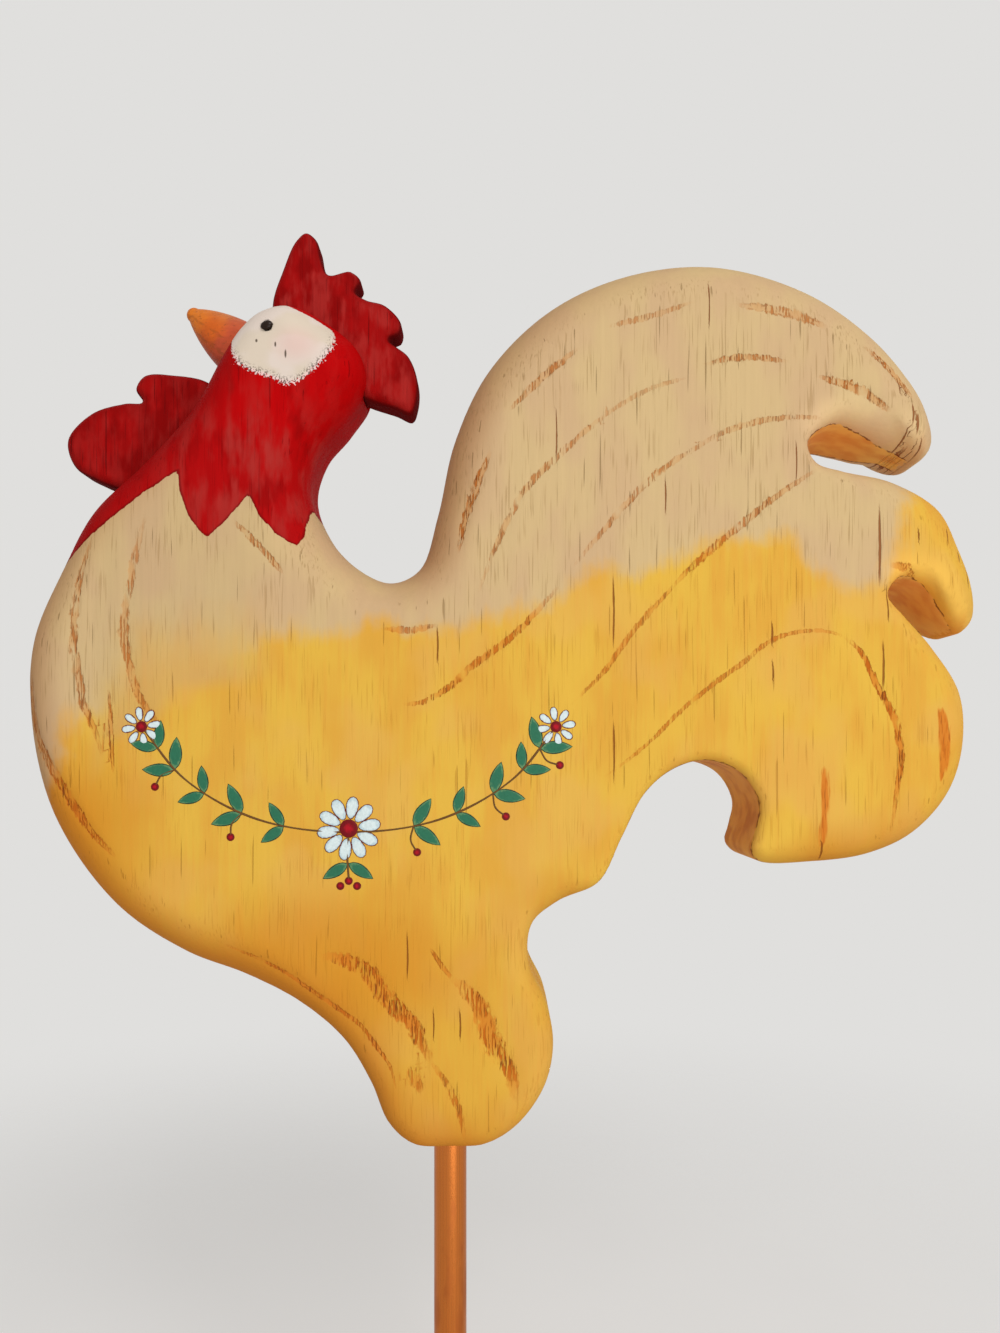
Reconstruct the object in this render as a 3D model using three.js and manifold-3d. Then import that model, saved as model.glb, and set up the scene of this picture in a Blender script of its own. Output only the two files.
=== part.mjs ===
// A painted wooden rooster, sawn from one thick board, on a metal rod in a round wooden base.
// Millimetres, +Z up. The rooster looks along -X and the board's two faces look along -Y and +Y.
// The origin is the middle of the base's underside, on the axis of the rod.

import * as THREE from "three";
import { mergeVertices } from "three/addons/utils/BufferGeometryUtils.js";
import Module from "manifold-3d";

// The outlines below are drawn as on a squared paper pattern: a point is [right, up] in squares,
// counted from the place where the rod enters the foot.
const PATTERN_SQUARE = 10;

// The board and the routed round on its edges, from nearly a full bullnose to a broken arris.
const BOARD_THICKNESS = 38;
const SOFT_EDGE = 14;
const EASED_EDGE = 9;
const TRIM_EDGE = 5.5;
const CRISP_EDGE = 3;
const LEAST_FLAT_WALL = 3;

// The comb and the wattle are thinner plates, let into grooves in the board's edge.
const COMB_THICKNESS = 11;
const WATTLE_THICKNESS = 12;
const PLATE_EDGE = 2.5;

// Blind dowels that hold the plates and the beak.
const DOWEL_DIAMETER = 4;
const DOWEL_LENGTH = 18;
const DOWEL_CHAMFER = 0.6;

// The beak, a turned cone with a round tip, a little flattened between the board's faces.
const BEAK_DIAMETER = 16.4;
const BEAK_LENGTH = 21;
const BEAK_TIP_RADIUS = 2.2;
const BEAK_FLATNESS = 0.86;
const BEAK_SEAT_DEPTH = 2;
const BEAK_FULL_SHARE = 0.35;
const BEAK_SLIM_SHARE = 0.75;

// The eyes are oval beads on a short shank.
const EYE_LENGTH = 3.7;
const EYE_HEIGHT = 3.1;
const EYE_DOME = 1.1;
const EYE_SHANK = 3;
const EYE_TILT = 25;
const EYE_SHANK_DIAMETER = 2.6;

// The rod, and how far it goes into the foot and into the base.
const ROD_DIAMETER = 9.5;
const ROD_SHOWN = 120;
const ROD_IN_FOOT = 60;
const ROD_IN_BASE = 16;
const ROD_CHAMFER = 0.8;

// The base.
const BASE_DIAMETER = 140;
const BASE_THICKNESS = 22;
const BASE_TOP_ROUND = 7;
const BASE_FOOT_CHAMFER = 1.5;

// Clearance between any two pieces that fit together.
const FIT = 0.3;

// How finely the curves are stepped.
const STEPS_PER_SPAN = 4;
const PLATE_STEPS_PER_SPAN = 3;
const BOARD_ROUND_STEPS = 4;
const PLATE_ROUND_STEPS = 2;
const TURNED_STEPS = 32;
const BASE_STEPS = 64;
const SMALL_STEPS = 16;
const BEAK_STEPS = 24;
const BEAK_TAPER_STEPS = 7;
const END_ROUND_STEPS = 3;
const BASE_ROUND_STEPS = 6;

// Points closer than this are one point of a mesh.
const MERGE_DISTANCE = 1e-4;

// The longest stretch of a rim, as a share of it, that counts as one narrow tip, and the size of
// the small copy of a tip that stays on the face, as shares of the tip, at its ends and its middle.
const LONGEST_LOOP = 0.25;
const TIP_LEAST = 0.04;
const TIP_MOST = 0.16;

// The rooster's outline, counterclockwise from under the beak. Each run gives the edge round at
// its start and at its end.
const BOARD_PATTERN = [
  {
    run: "throat",
    edge: [EASED_EDGE, EASED_EDGE],
    points: [[-6.35, 22.2], [-7.15, 20.75], [-8.5, 19.2]],
  },
  { run: "breast", edge: [EASED_EDGE, SOFT_EDGE], points: [[-9.95, 17.8], [-10.98, 16.3]] },
  {
    run: "belly",
    edge: [SOFT_EDGE, SOFT_EDGE],
    points: [[-11.85, 14.2], [-11.93, 11.9], [-11.25, 9.15], [-9.5, 6.65], [-7.5, 5.3]],
  },
  { run: "thigh", edge: [SOFT_EDGE, TRIM_EDGE], points: [[-5.8, 4.65], [-4.2, 3.95], [-2.9, 3]] },
  { run: "shin", edge: [TRIM_EDGE, TRIM_EDGE], points: [[-2.15, 1.8], [-1.65, 0.65]] },
  {
    run: "foot",
    edge: [TRIM_EDGE, TRIM_EDGE],
    points: [[-0.95, 0.06], [0.1, 0], [1.05, 0.06], [1.95, 0.6]],
  },
  {
    run: "back of leg",
    edge: [TRIM_EDGE, TRIM_EDGE],
    points: [[2.72, 1.7], [2.95, 2.85], [2.75, 4], [2.27, 5.1], [2.35, 6.2], [3.1, 6.85]],
  },
  {
    run: "arch",
    edge: [CRISP_EDGE, CRISP_EDGE],
    points: [
      [4.2, 7.4],
      [4.85, 8.65],
      [5.5, 9.88],
      [6.3, 10.55],
      [7.2, 10.78],
      [8.15, 10.42],
      [8.65, 9.55],
      [8.52, 8.75],
    ],
  },
  { run: "spur", edge: [CRISP_EDGE, TRIM_EDGE], points: [[8.42, 8.3], [8.72, 7.95]] },
  {
    run: "low feather",
    edge: [TRIM_EDGE, EASED_EDGE],
    points: [[10.2, 7.95], [11.7, 8.15], [13, 8.72], [14.05, 9.85], [14.5, 11.2]],
  },
  { run: "low feather side", edge: [EASED_EDGE, EASED_EDGE], points: [[14.4, 12.7], [13.6, 14]] },
  {
    run: "lower notch",
    edge: [TRIM_EDGE, CRISP_EDGE],
    points: [[12.75, 14.8], [12.25, 15.4], [12.55, 15.86]],
  },
  {
    run: "lower notch roof",
    edge: [TRIM_EDGE, EASED_EDGE],
    points: [[13.2, 15.74], [13.55, 15.46], [13.8, 15.12], [14.08, 14.77]],
  },
  {
    run: "middle feather tip",
    edge: [SOFT_EDGE, SOFT_EDGE],
    points: [[14.6, 14.4], [14.95, 14.72], [14.96, 15.5]],
  },
  {
    run: "middle feather",
    edge: [SOFT_EDGE, EASED_EDGE],
    points: [[14.58, 16.7], [13.88, 17.88], [12.5, 18.62]],
  },
  {
    run: "upper notch",
    edge: [TRIM_EDGE, CRISP_EDGE],
    points: [[11, 18.86], [10.25, 19.08], [10, 19.6]],
  },
  {
    run: "upper notch roof",
    edge: [TRIM_EDGE, SOFT_EDGE],
    points: [[10.76, 20.19], [11.58, 20.01], [12.17, 19.8], [12.78, 19.64]],
  },
  {
    run: "top feather tip",
    edge: [SOFT_EDGE, SOFT_EDGE],
    points: [[13.45, 19.36], [13.8, 19.72], [13.65, 20.6]],
  },
  {
    run: "top feather",
    edge: [SOFT_EDGE, SOFT_EDGE],
    points: [[13.22, 21.45], [12.1, 22.78], [10.2, 24.1], [7.6, 24.85], [5.1, 24.62]],
  },
  {
    run: "back of tail",
    edge: [SOFT_EDGE, SOFT_EDGE],
    points: [[2.9, 23.65], [1.13, 21.93], [0.15, 19.9], [-0.33, 17.8]],
  },
  {
    run: "saddle",
    edge: [SOFT_EDGE, SOFT_EDGE],
    points: [[-0.85, 16.25], [-1.65, 15.87], [-2.65, 16.3], [-3.55, 17.3], [-4, 18.5], [-3.7, 19.65]],
  },
  {
    run: "nape",
    edge: [SOFT_EDGE, SOFT_EDGE],
    points: [[-3, 20.5], [-2.4, 21.5], [-2.6, 22.5], [-3.5, 23.3]],
  },
  { run: "crown", edge: [EASED_EDGE, EASED_EDGE], points: [[-4.5, 23.6], [-5.3, 23.42], [-5.85, 22.95]] },
];

// The comb: its scalloped free edge from the rear tip forward, then its root inside the head.
const COMB_PATTERN = [
  {
    run: "rear lobe",
    edge: [PLATE_EDGE, PLATE_EDGE],
    points: [[-1.6, 20.98], [-1.13, 20.8], [-0.97, 21.15], [-0.94, 21.8], [-1.2, 22.5], [-1.76, 22.98]],
  },
  {
    run: "third lobe",
    edge: [PLATE_EDGE, PLATE_EDGE],
    points: [[-1.46, 23.16], [-1.42, 23.48], [-1.88, 23.98], [-2.42, 24.14], [-2.74, 24.36]],
  },
  {
    run: "second lobe",
    edge: [PLATE_EDGE, PLATE_EDGE],
    points: [[-2.58, 24.68], [-2.88, 24.96], [-3.52, 24.87]],
  },
  {
    run: "front lobe",
    edge: [PLATE_EDGE, PLATE_EDGE],
    points: [[-3.72, 25.28], [-3.86, 25.86], [-4.16, 26.08], [-4.48, 25.82], [-4.84, 25], [-5.14, 24.05]],
  },
  {
    run: "root",
    edge: [PLATE_EDGE, PLATE_EDGE],
    points: [[-5.05, 23.2], [-4.45, 22.95], [-3.7, 22.72], [-3.1, 22.25], [-2.9, 21.65], [-2.55, 21.32]],
  },
];

// The wattle: its two lobes from the throat outward, then its root inside the throat.
const WATTLE_PATTERN = [
  {
    run: "upper lobe",
    edge: [PLATE_EDGE, PLATE_EDGE],
    points: [[-7, 21.73], [-8, 21.94], [-8.82, 21.92], [-9.09, 21.52], [-8.9, 21.16]],
  },
  {
    run: "lower lobe",
    edge: [PLATE_EDGE, PLATE_EDGE],
    points: [[-9.4, 21.12], [-10.35, 20.83], [-11.06, 20.05], [-10.85, 19.27], [-10.2, 18.87], [-9.5, 18.6]],
  },
  {
    run: "root",
    edge: [PLATE_EDGE, PLATE_EDGE],
    points: [[-8.75, 18.3], [-8.1, 18.85], [-7.35, 19.65], [-6.75, 20.45], [-6.5, 21.15]],
  },
];

// Where the blind dowels cross a root, in squares, and which way they point, in degrees from +X.
const COMB_DOWELS = [
  { name: "comb_front_dowel", at: [-4.4, 22.94], angle: 95 },
  { name: "comb_rear_dowel", at: [-3.07, 22.2], angle: 42 },
];
const WATTLE_DOWELS = [
  { name: "wattle_upper_dowel", at: [-6.95, 20.2], angle: 140 },
  { name: "wattle_lower_dowel", at: [-7.85, 19.12], angle: 137 },
];
const BEAK_ROOT = [-6.02, 22.72];
const BEAK_ANGLE = 143;
const EYE_CENTRE = [-4.95, 22.73];

const wasm = await Module();
wasm.setup();

// Turns a closed geometry into a solid that can be cut.
function solidFrom(geometry) {
  const bare = geometry.index ? geometry.clone() : mergeVertices(geometry);
  bare.deleteAttribute("normal");
  bare.deleteAttribute("uv");
  const merged = mergeVertices(bare, MERGE_DISTANCE);
  const mesh = new wasm.Mesh({
    numProp: 3,
    vertProperties: new Float32Array(merged.attributes.position.array),
    triVerts: new Uint32Array(merged.index.array),
  });
  return new wasm.Manifold(mesh);
}

// Turns a solid back into a geometry.
function geometryFrom(solid) {
  const mesh = solid.getMesh();
  const geometry = new THREE.BufferGeometry();
  geometry.setAttribute("position", new THREE.BufferAttribute(new Float32Array(mesh.vertProperties), 3));
  geometry.setIndex(new THREE.BufferAttribute(new Uint32Array(mesh.triVerts), 1));
  geometry.computeVertexNormals();
  return geometry;
}

// Cuts every tool out of a blank.
function cut(blank, tools) {
  let solid = solidFrom(blank);
  for (const tool of tools) {
    solid = solid.subtract(solidFrom(tool));
  }
  return geometryFrom(solid);
}

// A point of the pattern in millimetres.
function onPattern([right, up]) {
  return new THREE.Vector2(right * PATTERN_SQUARE, up * PATTERN_SQUARE);
}

// Steps along a pattern's closed curve. Each rim point has its place and its edge round.
function rimOf(pattern, stepsPerSpan) {
  const knots = [];
  for (const { edge, points } of pattern) {
    points.forEach((point, i) => {
      const place = onPattern(point);
      const along = points.length > 1 ? i / (points.length - 1) : 0;
      knots.push(new THREE.Vector3(place.x, place.y, THREE.MathUtils.lerp(edge[0], edge[1], along)));
    });
  }
  const curve = new THREE.CatmullRomCurve3(knots, true, "centripetal");
  const count = knots.length * stepsPerSpan;
  return Array.from({ length: count }, (_, i) => {
    const point = curve.getPoint(i / count);
    return { place: new THREE.Vector2(point.x, point.y), edge: point.z };
  });
}

// The inward direction at each rim point of a counterclockwise rim.
function inwardOf(rim) {
  return rim.map((_, i) => {
    const before = rim[(i + rim.length - 1) % rim.length].place;
    const after = rim[(i + 1) % rim.length].place;
    const along = after.clone().sub(before).normalize();
    return new THREE.Vector2(-along.y, along.x);
  });
}

// Where two segments cross each other, or null.
function crossingOf(start, end, otherStart, otherEnd) {
  const step = end.clone().sub(start);
  const otherStep = otherEnd.clone().sub(otherStart);
  const turn = step.cross(otherStep);
  if (turn === 0) {
    return null;
  }
  const apart = otherStart.clone().sub(start);
  const share = apart.cross(otherStep) / turn;
  const otherShare = apart.cross(step) / turn;
  const inside = share >= 0 && share <= 1 && otherShare >= 0 && otherShare <= 1;
  return inside ? start.clone().addScaledVector(step, share) : null;
}

// The loops that a closed line makes where it passes over itself, longest first.
function loopsOf(line) {
  const count = line.length;
  const at = (i) => line[i % count];
  const loops = [];
  line.forEach((start, i) => {
    for (let span = Math.floor(count * LONGEST_LOOP); span > 1; span -= 1) {
      const cross = crossingOf(start, at(i + 1), at(i + span), at(i + span + 1));
      if (cross) {
        loops.push({ first: i + 1, span, cross });
        return;
      }
    }
  });
  return loops.sort((a, b) => b.span - a.span);
}

// Where the round at each rim point meets the face. At a narrow tip, where the rounds of two
// sides would pass each other, it is drawn in to a small copy of the tip.
function faceEdgeOf(rim, inward) {
  const line = rim.map(({ place, edge }, i) => place.clone().addScaledVector(inward[i], edge));
  const trimmed = new Set();
  for (const { first, span, cross } of loopsOf(line)) {
    const tip = Array.from({ length: span }, (_, step) => (first + step) % rim.length);
    if (tip.some((i) => trimmed.has(i))) {
      continue;
    }
    tip.forEach((i, step) => {
      const along = Math.sin((Math.PI * (step + 1)) / (span + 1));
      line[i] = cross.clone().lerp(rim[i].place, THREE.MathUtils.lerp(TIP_LEAST, TIP_MOST, along));
      trimmed.add(i);
    });
  }
  return line;
}

// Joins rings of equal length, from the back face to the front face, into a closed body.
function skinned(rings) {
  const count = rings[0].length;
  const positions = rings.flat().flatMap((point) => [point.x, point.y, point.z]);
  const triangles = [];
  for (let ring = 0; ring + 1 < rings.length; ring += 1) {
    for (let i = 0; i < count; i += 1) {
      const next = (i + 1) % count;
      const back = ring * count;
      const front = back + count;
      triangles.push(back + i, back + next, front + next, back + i, front + next, front + i);
    }
  }
  const last = (rings.length - 1) * count;
  const frontFace = rings[rings.length - 1].map((point) => new THREE.Vector2(point.x, point.z));
  for (const [a, b, c] of THREE.ShapeUtils.triangulateShape(frontFace, [])) {
    triangles.push(last + a, last + b, last + c);
  }
  const backFace = rings[0].map((point) => new THREE.Vector2(point.x, point.z));
  for (const [a, b, c] of THREE.ShapeUtils.triangulateShape(backFace, [])) {
    triangles.push(a, c, b);
  }
  const geometry = new THREE.BufferGeometry();
  geometry.setAttribute("position", new THREE.Float32BufferAttribute(positions, 3));
  geometry.setIndex(triangles);
  geometry.computeVertexNormals();
  return geometry;
}

// A plate sawn to a pattern, with its edges rounded over on both faces.
function roundedPlate(pattern, thickness, stepsPerSpan, roundSteps) {
  const rim = rimOf(pattern, stepsPerSpan);
  const inward = inwardOf(rim);
  const faceEdge = faceEdgeOf(rim, inward);
  const half = thickness / 2;
  const ringAt = (side, turn) =>
    rim.map(({ place, edge }, i) => {
      const depth = Math.min(edge, half - LEAST_FLAT_WALL / 2);
      const spot = place.clone().lerp(faceEdge[i], 1 - Math.cos(turn));
      return new THREE.Vector3(spot.x, side * (half - depth + depth * Math.sin(turn)), spot.y);
    });
  const rings = [];
  for (let step = roundSteps; step >= 0; step -= 1) {
    rings.push(ringAt(1, (step / roundSteps) * (Math.PI / 2)));
  }
  for (let step = 0; step <= roundSteps; step += 1) {
    rings.push(ringAt(-1, (step / roundSteps) * (Math.PI / 2)));
  }
  return skinned(rings);
}

// The groove that a plate is let into: the plate's own outline and thickness with clearance.
function grooveFor(pattern, thickness) {
  const rim = rimOf(pattern, PLATE_STEPS_PER_SPAN);
  const inward = inwardOf(rim);
  const ringAt = (side) =>
    rim.map(({ place }, i) => {
      const wall = place.clone().addScaledVector(inward[i], -FIT);
      return new THREE.Vector3(wall.x, side * (thickness / 2 + FIT), wall.y);
    });
  return skinned([ringAt(1), ringAt(-1)]);
}

// A turned piece about +Z, from a profile of [radius, height] that starts and ends on the axis.
function turned(profile, steps) {
  const points = profile.map(([radius, height]) => new THREE.Vector2(radius, height));
  return new THREE.LatheGeometry(points, steps).rotateX(Math.PI / 2);
}

// A round bar with chamfered ends, standing on its lower end.
function bar(radius, length, chamfer, steps) {
  const profile = [
    [0, 0],
    [radius - chamfer, 0],
    [radius, chamfer],
    [radius, length - chamfer],
    [radius - chamfer, length],
    [0, length],
  ];
  return turned(profile, steps);
}

// The rest of a profile that rounds over from a radius at one height to the axis, higher up.
function roundedEnd(radius, height, rise) {
  const points = [];
  for (let step = 1; step <= END_ROUND_STEPS; step += 1) {
    const angle = (step / END_ROUND_STEPS) * (Math.PI / 2);
    const across = step < END_ROUND_STEPS ? radius * Math.cos(angle) : 0;
    points.push([across, height + rise * Math.sin(angle)]);
  }
  return points;
}

// A plain drilled hole, as the round tool that cuts it.
function drill(radius, length, steps) {
  return turned([[0, 0], [radius, 0], [radius, length], [0, length]], steps);
}

// The turn and shift that put a piece's +Z along an angle in the board's middle plane.
function seatAt(at, angle) {
  const place = onPattern(at);
  const turn = new THREE.Matrix4().makeRotationY(Math.PI / 2 - THREE.MathUtils.degToRad(angle));
  return new THREE.Matrix4().makeTranslation(place.x, 0, place.y).multiply(turn);
}

// The hole for one blind dowel, half on each side of the joint.
function dowelHole({ at, angle }) {
  const length = DOWEL_LENGTH + 2 * FIT;
  const hole = drill(DOWEL_DIAMETER / 2 + FIT, length, SMALL_STEPS).translate(0, 0, -length / 2);
  return hole.applyMatrix4(seatAt(at, angle));
}

// The place of the beak's dowel, half in the beak and half in the head.
const BEAK_DOWEL = { name: "beak_dowel", at: BEAK_ROOT, angle: BEAK_ANGLE };

// The beak about +Z, with its flat end on the seat and the round tip at its full length.
function beakBlank() {
  const butt = BEAK_DIAMETER / 2;
  const roundStart = BEAK_LENGTH - BEAK_TIP_RADIUS;
  const profile = [[0, -BEAK_SEAT_DEPTH], [butt, -BEAK_SEAT_DEPTH]];
  const taper = new THREE.CubicBezierCurve(
    new THREE.Vector2(butt, 0),
    new THREE.Vector2(butt, BEAK_LENGTH * BEAK_FULL_SHARE),
    new THREE.Vector2(2 * BEAK_TIP_RADIUS, BEAK_LENGTH * BEAK_SLIM_SHARE),
    new THREE.Vector2(BEAK_TIP_RADIUS, roundStart),
  );
  for (const point of taper.getPoints(BEAK_TAPER_STEPS)) {
    profile.push([point.x, point.y]);
  }
  profile.push(...roundedEnd(BEAK_TIP_RADIUS, roundStart, BEAK_TIP_RADIUS));
  return turned(profile, BEAK_STEPS).scale(1, BEAK_FLATNESS, 1);
}

// The round seat that the beak's flat end stands in.
function beakSeat() {
  const radius = BEAK_DIAMETER / 2 + FIT;
  const seat = drill(radius, BEAK_LENGTH, BEAK_STEPS).scale(1, BEAK_FLATNESS + FIT / radius, 1);
  return seat.translate(0, 0, -BEAK_SEAT_DEPTH - FIT).applyMatrix4(seatAt(BEAK_ROOT, BEAK_ANGLE));
}

// An eye about +Z: the dome stands on the board's face, and the shank goes into the board.
function eyeBead() {
  const radius = EYE_LENGTH / 2;
  const shank = EYE_SHANK_DIAMETER / 2;
  const profile = [[0, -EYE_SHANK], [shank, -EYE_SHANK], [shank, FIT], [radius, FIT]];
  profile.push(...roundedEnd(radius, FIT, EYE_DOME));
  return turned(profile, SMALL_STEPS).scale(1, EYE_HEIGHT / EYE_LENGTH, 1);
}

// Puts an eye piece on one face of the board: side is -1 in front and 1 behind.
function onFace(geometry, side) {
  const place = onPattern(EYE_CENTRE);
  const tilt = new THREE.Matrix4().makeRotationZ(-side * THREE.MathUtils.degToRad(EYE_TILT));
  const lean = new THREE.Matrix4().makeRotationX((-side * Math.PI) / 2);
  const shift = new THREE.Matrix4().makeTranslation(place.x, (side * BOARD_THICKNESS) / 2, place.y);
  return geometry.applyMatrix4(shift.multiply(lean).multiply(tilt));
}

// The hole for an eye's shank.
function eyeHole(side) {
  const radius = EYE_SHANK_DIAMETER / 2 + FIT;
  const depth = EYE_SHANK + FIT;
  const hole = drill(radius, depth + BOARD_THICKNESS, SMALL_STEPS).translate(0, 0, -depth);
  return onFace(hole.scale(1, EYE_HEIGHT / EYE_LENGTH + FIT / radius, 1), side);
}

// The base's profile, with a round top edge and the rod's blind hole in its middle.
function baseProfile() {
  const outer = BASE_DIAMETER / 2;
  const hole = ROD_DIAMETER / 2 + FIT;
  const profile = [[0, 0], [outer - BASE_FOOT_CHAMFER, 0], [outer, BASE_FOOT_CHAMFER]];
  for (let step = 0; step <= BASE_ROUND_STEPS; step += 1) {
    const angle = (step / BASE_ROUND_STEPS) * (Math.PI / 2);
    profile.push([
      outer - BASE_TOP_ROUND + BASE_TOP_ROUND * Math.cos(angle),
      BASE_THICKNESS - BASE_TOP_ROUND + BASE_TOP_ROUND * Math.sin(angle),
    ]);
  }
  profile.push([hole, BASE_THICKNESS]);
  profile.push([hole, BASE_THICKNESS - ROD_IN_BASE - FIT]);
  profile.push([0, BASE_THICKNESS - ROD_IN_BASE - FIT]);
  return profile;
}

function finish(color, roughness, metalness = 0) {
  return new THREE.MeshStandardMaterial({ color, roughness, metalness });
}

const OCHRE_PAINT = finish(0xe0a545, 0.55);
const COMB_RED = finish(0xa51a1e, 0.5);
const WATTLE_RED = finish(0xb3141c, 0.5);
const BEAK_ORANGE = finish(0xe08428, 0.5);
const BEAD_BLACK = finish(0x1a120e, 0.15);
const COPPER = finish(0xc87533, 0.3, 0.9);
const BARE_BIRCH = finish(0xd9c39a, 0.7);

function named(name, geometry, material) {
  const mesh = new THREE.Mesh(geometry, material);
  mesh.name = name;
  return mesh;
}

// The rod's hole in the foot.
function rodHole() {
  const depth = ROD_IN_FOOT + FIT;
  const below = BOARD_THICKNESS;
  return drill(ROD_DIAMETER / 2 + FIT, depth + below, TURNED_STEPS).translate(0, 0, -below);
}

const figure = new THREE.Group();
figure.position.z = BASE_THICKNESS + ROD_SHOWN;

const boardBlank = roundedPlate(BOARD_PATTERN, BOARD_THICKNESS, STEPS_PER_SPAN, BOARD_ROUND_STEPS);
const boardCuts = [
  grooveFor(COMB_PATTERN, COMB_THICKNESS),
  grooveFor(WATTLE_PATTERN, WATTLE_THICKNESS),
  ...[...COMB_DOWELS, ...WATTLE_DOWELS, BEAK_DOWEL].map(dowelHole),
  beakSeat(),
  eyeHole(-1),
  eyeHole(1),
  rodHole(),
];
figure.add(named("carved_body", cut(boardBlank, boardCuts), OCHRE_PAINT));

const combBlank = roundedPlate(COMB_PATTERN, COMB_THICKNESS, PLATE_STEPS_PER_SPAN, PLATE_ROUND_STEPS);
figure.add(named("comb", cut(combBlank, COMB_DOWELS.map(dowelHole)), COMB_RED));

const wattleBlank = roundedPlate(WATTLE_PATTERN, WATTLE_THICKNESS, PLATE_STEPS_PER_SPAN, PLATE_ROUND_STEPS);
figure.add(named("wattle", cut(wattleBlank, WATTLE_DOWELS.map(dowelHole)), WATTLE_RED));

const beakPlaced = beakBlank().applyMatrix4(seatAt(BEAK_ROOT, BEAK_ANGLE));
figure.add(named("beak", cut(beakPlaced, [dowelHole(BEAK_DOWEL)]), BEAK_ORANGE));

for (const dowel of [...COMB_DOWELS, ...WATTLE_DOWELS, BEAK_DOWEL]) {
  const pin = bar(DOWEL_DIAMETER / 2, DOWEL_LENGTH, DOWEL_CHAMFER, SMALL_STEPS);
  const mesh = named(dowel.name, pin.translate(0, 0, -DOWEL_LENGTH / 2), BARE_BIRCH);
  mesh.applyMatrix4(seatAt(dowel.at, dowel.angle));
  figure.add(mesh);
}

figure.add(named("left_eye", onFace(eyeBead(), -1), BEAD_BLACK));
figure.add(named("right_eye", onFace(eyeBead(), 1), BEAD_BLACK));

const rodLength = ROD_IN_FOOT + ROD_SHOWN + ROD_IN_BASE;
const rod = named("rod", bar(ROD_DIAMETER / 2, rodLength, ROD_CHAMFER, TURNED_STEPS), COPPER);
rod.position.z = ROD_IN_FOOT - rodLength;
figure.add(rod);

const stand = new THREE.Group();
stand.add(named("base", turned(baseProfile(), BASE_STEPS), OCHRE_PAINT));

const group = new THREE.Group();
group.add(stand, figure);

export default group;
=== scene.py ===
"""Looks of a painted wooden rooster that turns on a metal rod in a round wooden base.

Scene units are metres, +Z up; the rooster looks along -X and its better face looks along -Y.
Sizes inside the classes are millimetres. Paint is laid out on the board's face as [right, up],
counted from the place where the rod enters the foot.
"""

import logging
import math
from dataclasses import dataclass, field
from enum import Enum
from typing import Any, Iterable, Mapping, Optional, Protocol, Sequence, Union

import bmesh
import bpy
import numpy as np
from mathutils import Matrix, Vector
from mathutils.bvhtree import BVHTree


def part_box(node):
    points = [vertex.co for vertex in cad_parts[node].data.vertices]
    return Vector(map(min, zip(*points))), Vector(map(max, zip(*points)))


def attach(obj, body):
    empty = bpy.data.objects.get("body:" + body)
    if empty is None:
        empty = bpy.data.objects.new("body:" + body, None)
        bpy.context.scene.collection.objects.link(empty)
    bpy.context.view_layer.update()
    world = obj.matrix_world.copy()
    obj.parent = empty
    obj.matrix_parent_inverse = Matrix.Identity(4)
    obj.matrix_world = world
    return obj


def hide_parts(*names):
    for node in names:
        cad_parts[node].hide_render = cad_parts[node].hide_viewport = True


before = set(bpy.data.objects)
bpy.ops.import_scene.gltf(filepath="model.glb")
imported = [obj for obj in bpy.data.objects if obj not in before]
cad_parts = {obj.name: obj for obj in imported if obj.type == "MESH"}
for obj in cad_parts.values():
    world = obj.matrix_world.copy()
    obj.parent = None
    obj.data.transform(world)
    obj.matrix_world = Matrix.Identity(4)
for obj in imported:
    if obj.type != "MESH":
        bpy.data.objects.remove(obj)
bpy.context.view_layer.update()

log = logging.getLogger("rooster")

Array = np.ndarray
Triple = tuple[float, float, float]
Spot = tuple[float, float]
Spots = tuple[Spot, ...]

MM = 0.001
FOOT_HEIGHT = 142.0
BOARD_THICKNESS = 38.0
COMB_THICKNESS = 11.0
WATTLE_THICKNESS = 12.0
LEAST_FLAT_WALL = 3.0
PATTERN_SQUARE = 10.0


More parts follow.
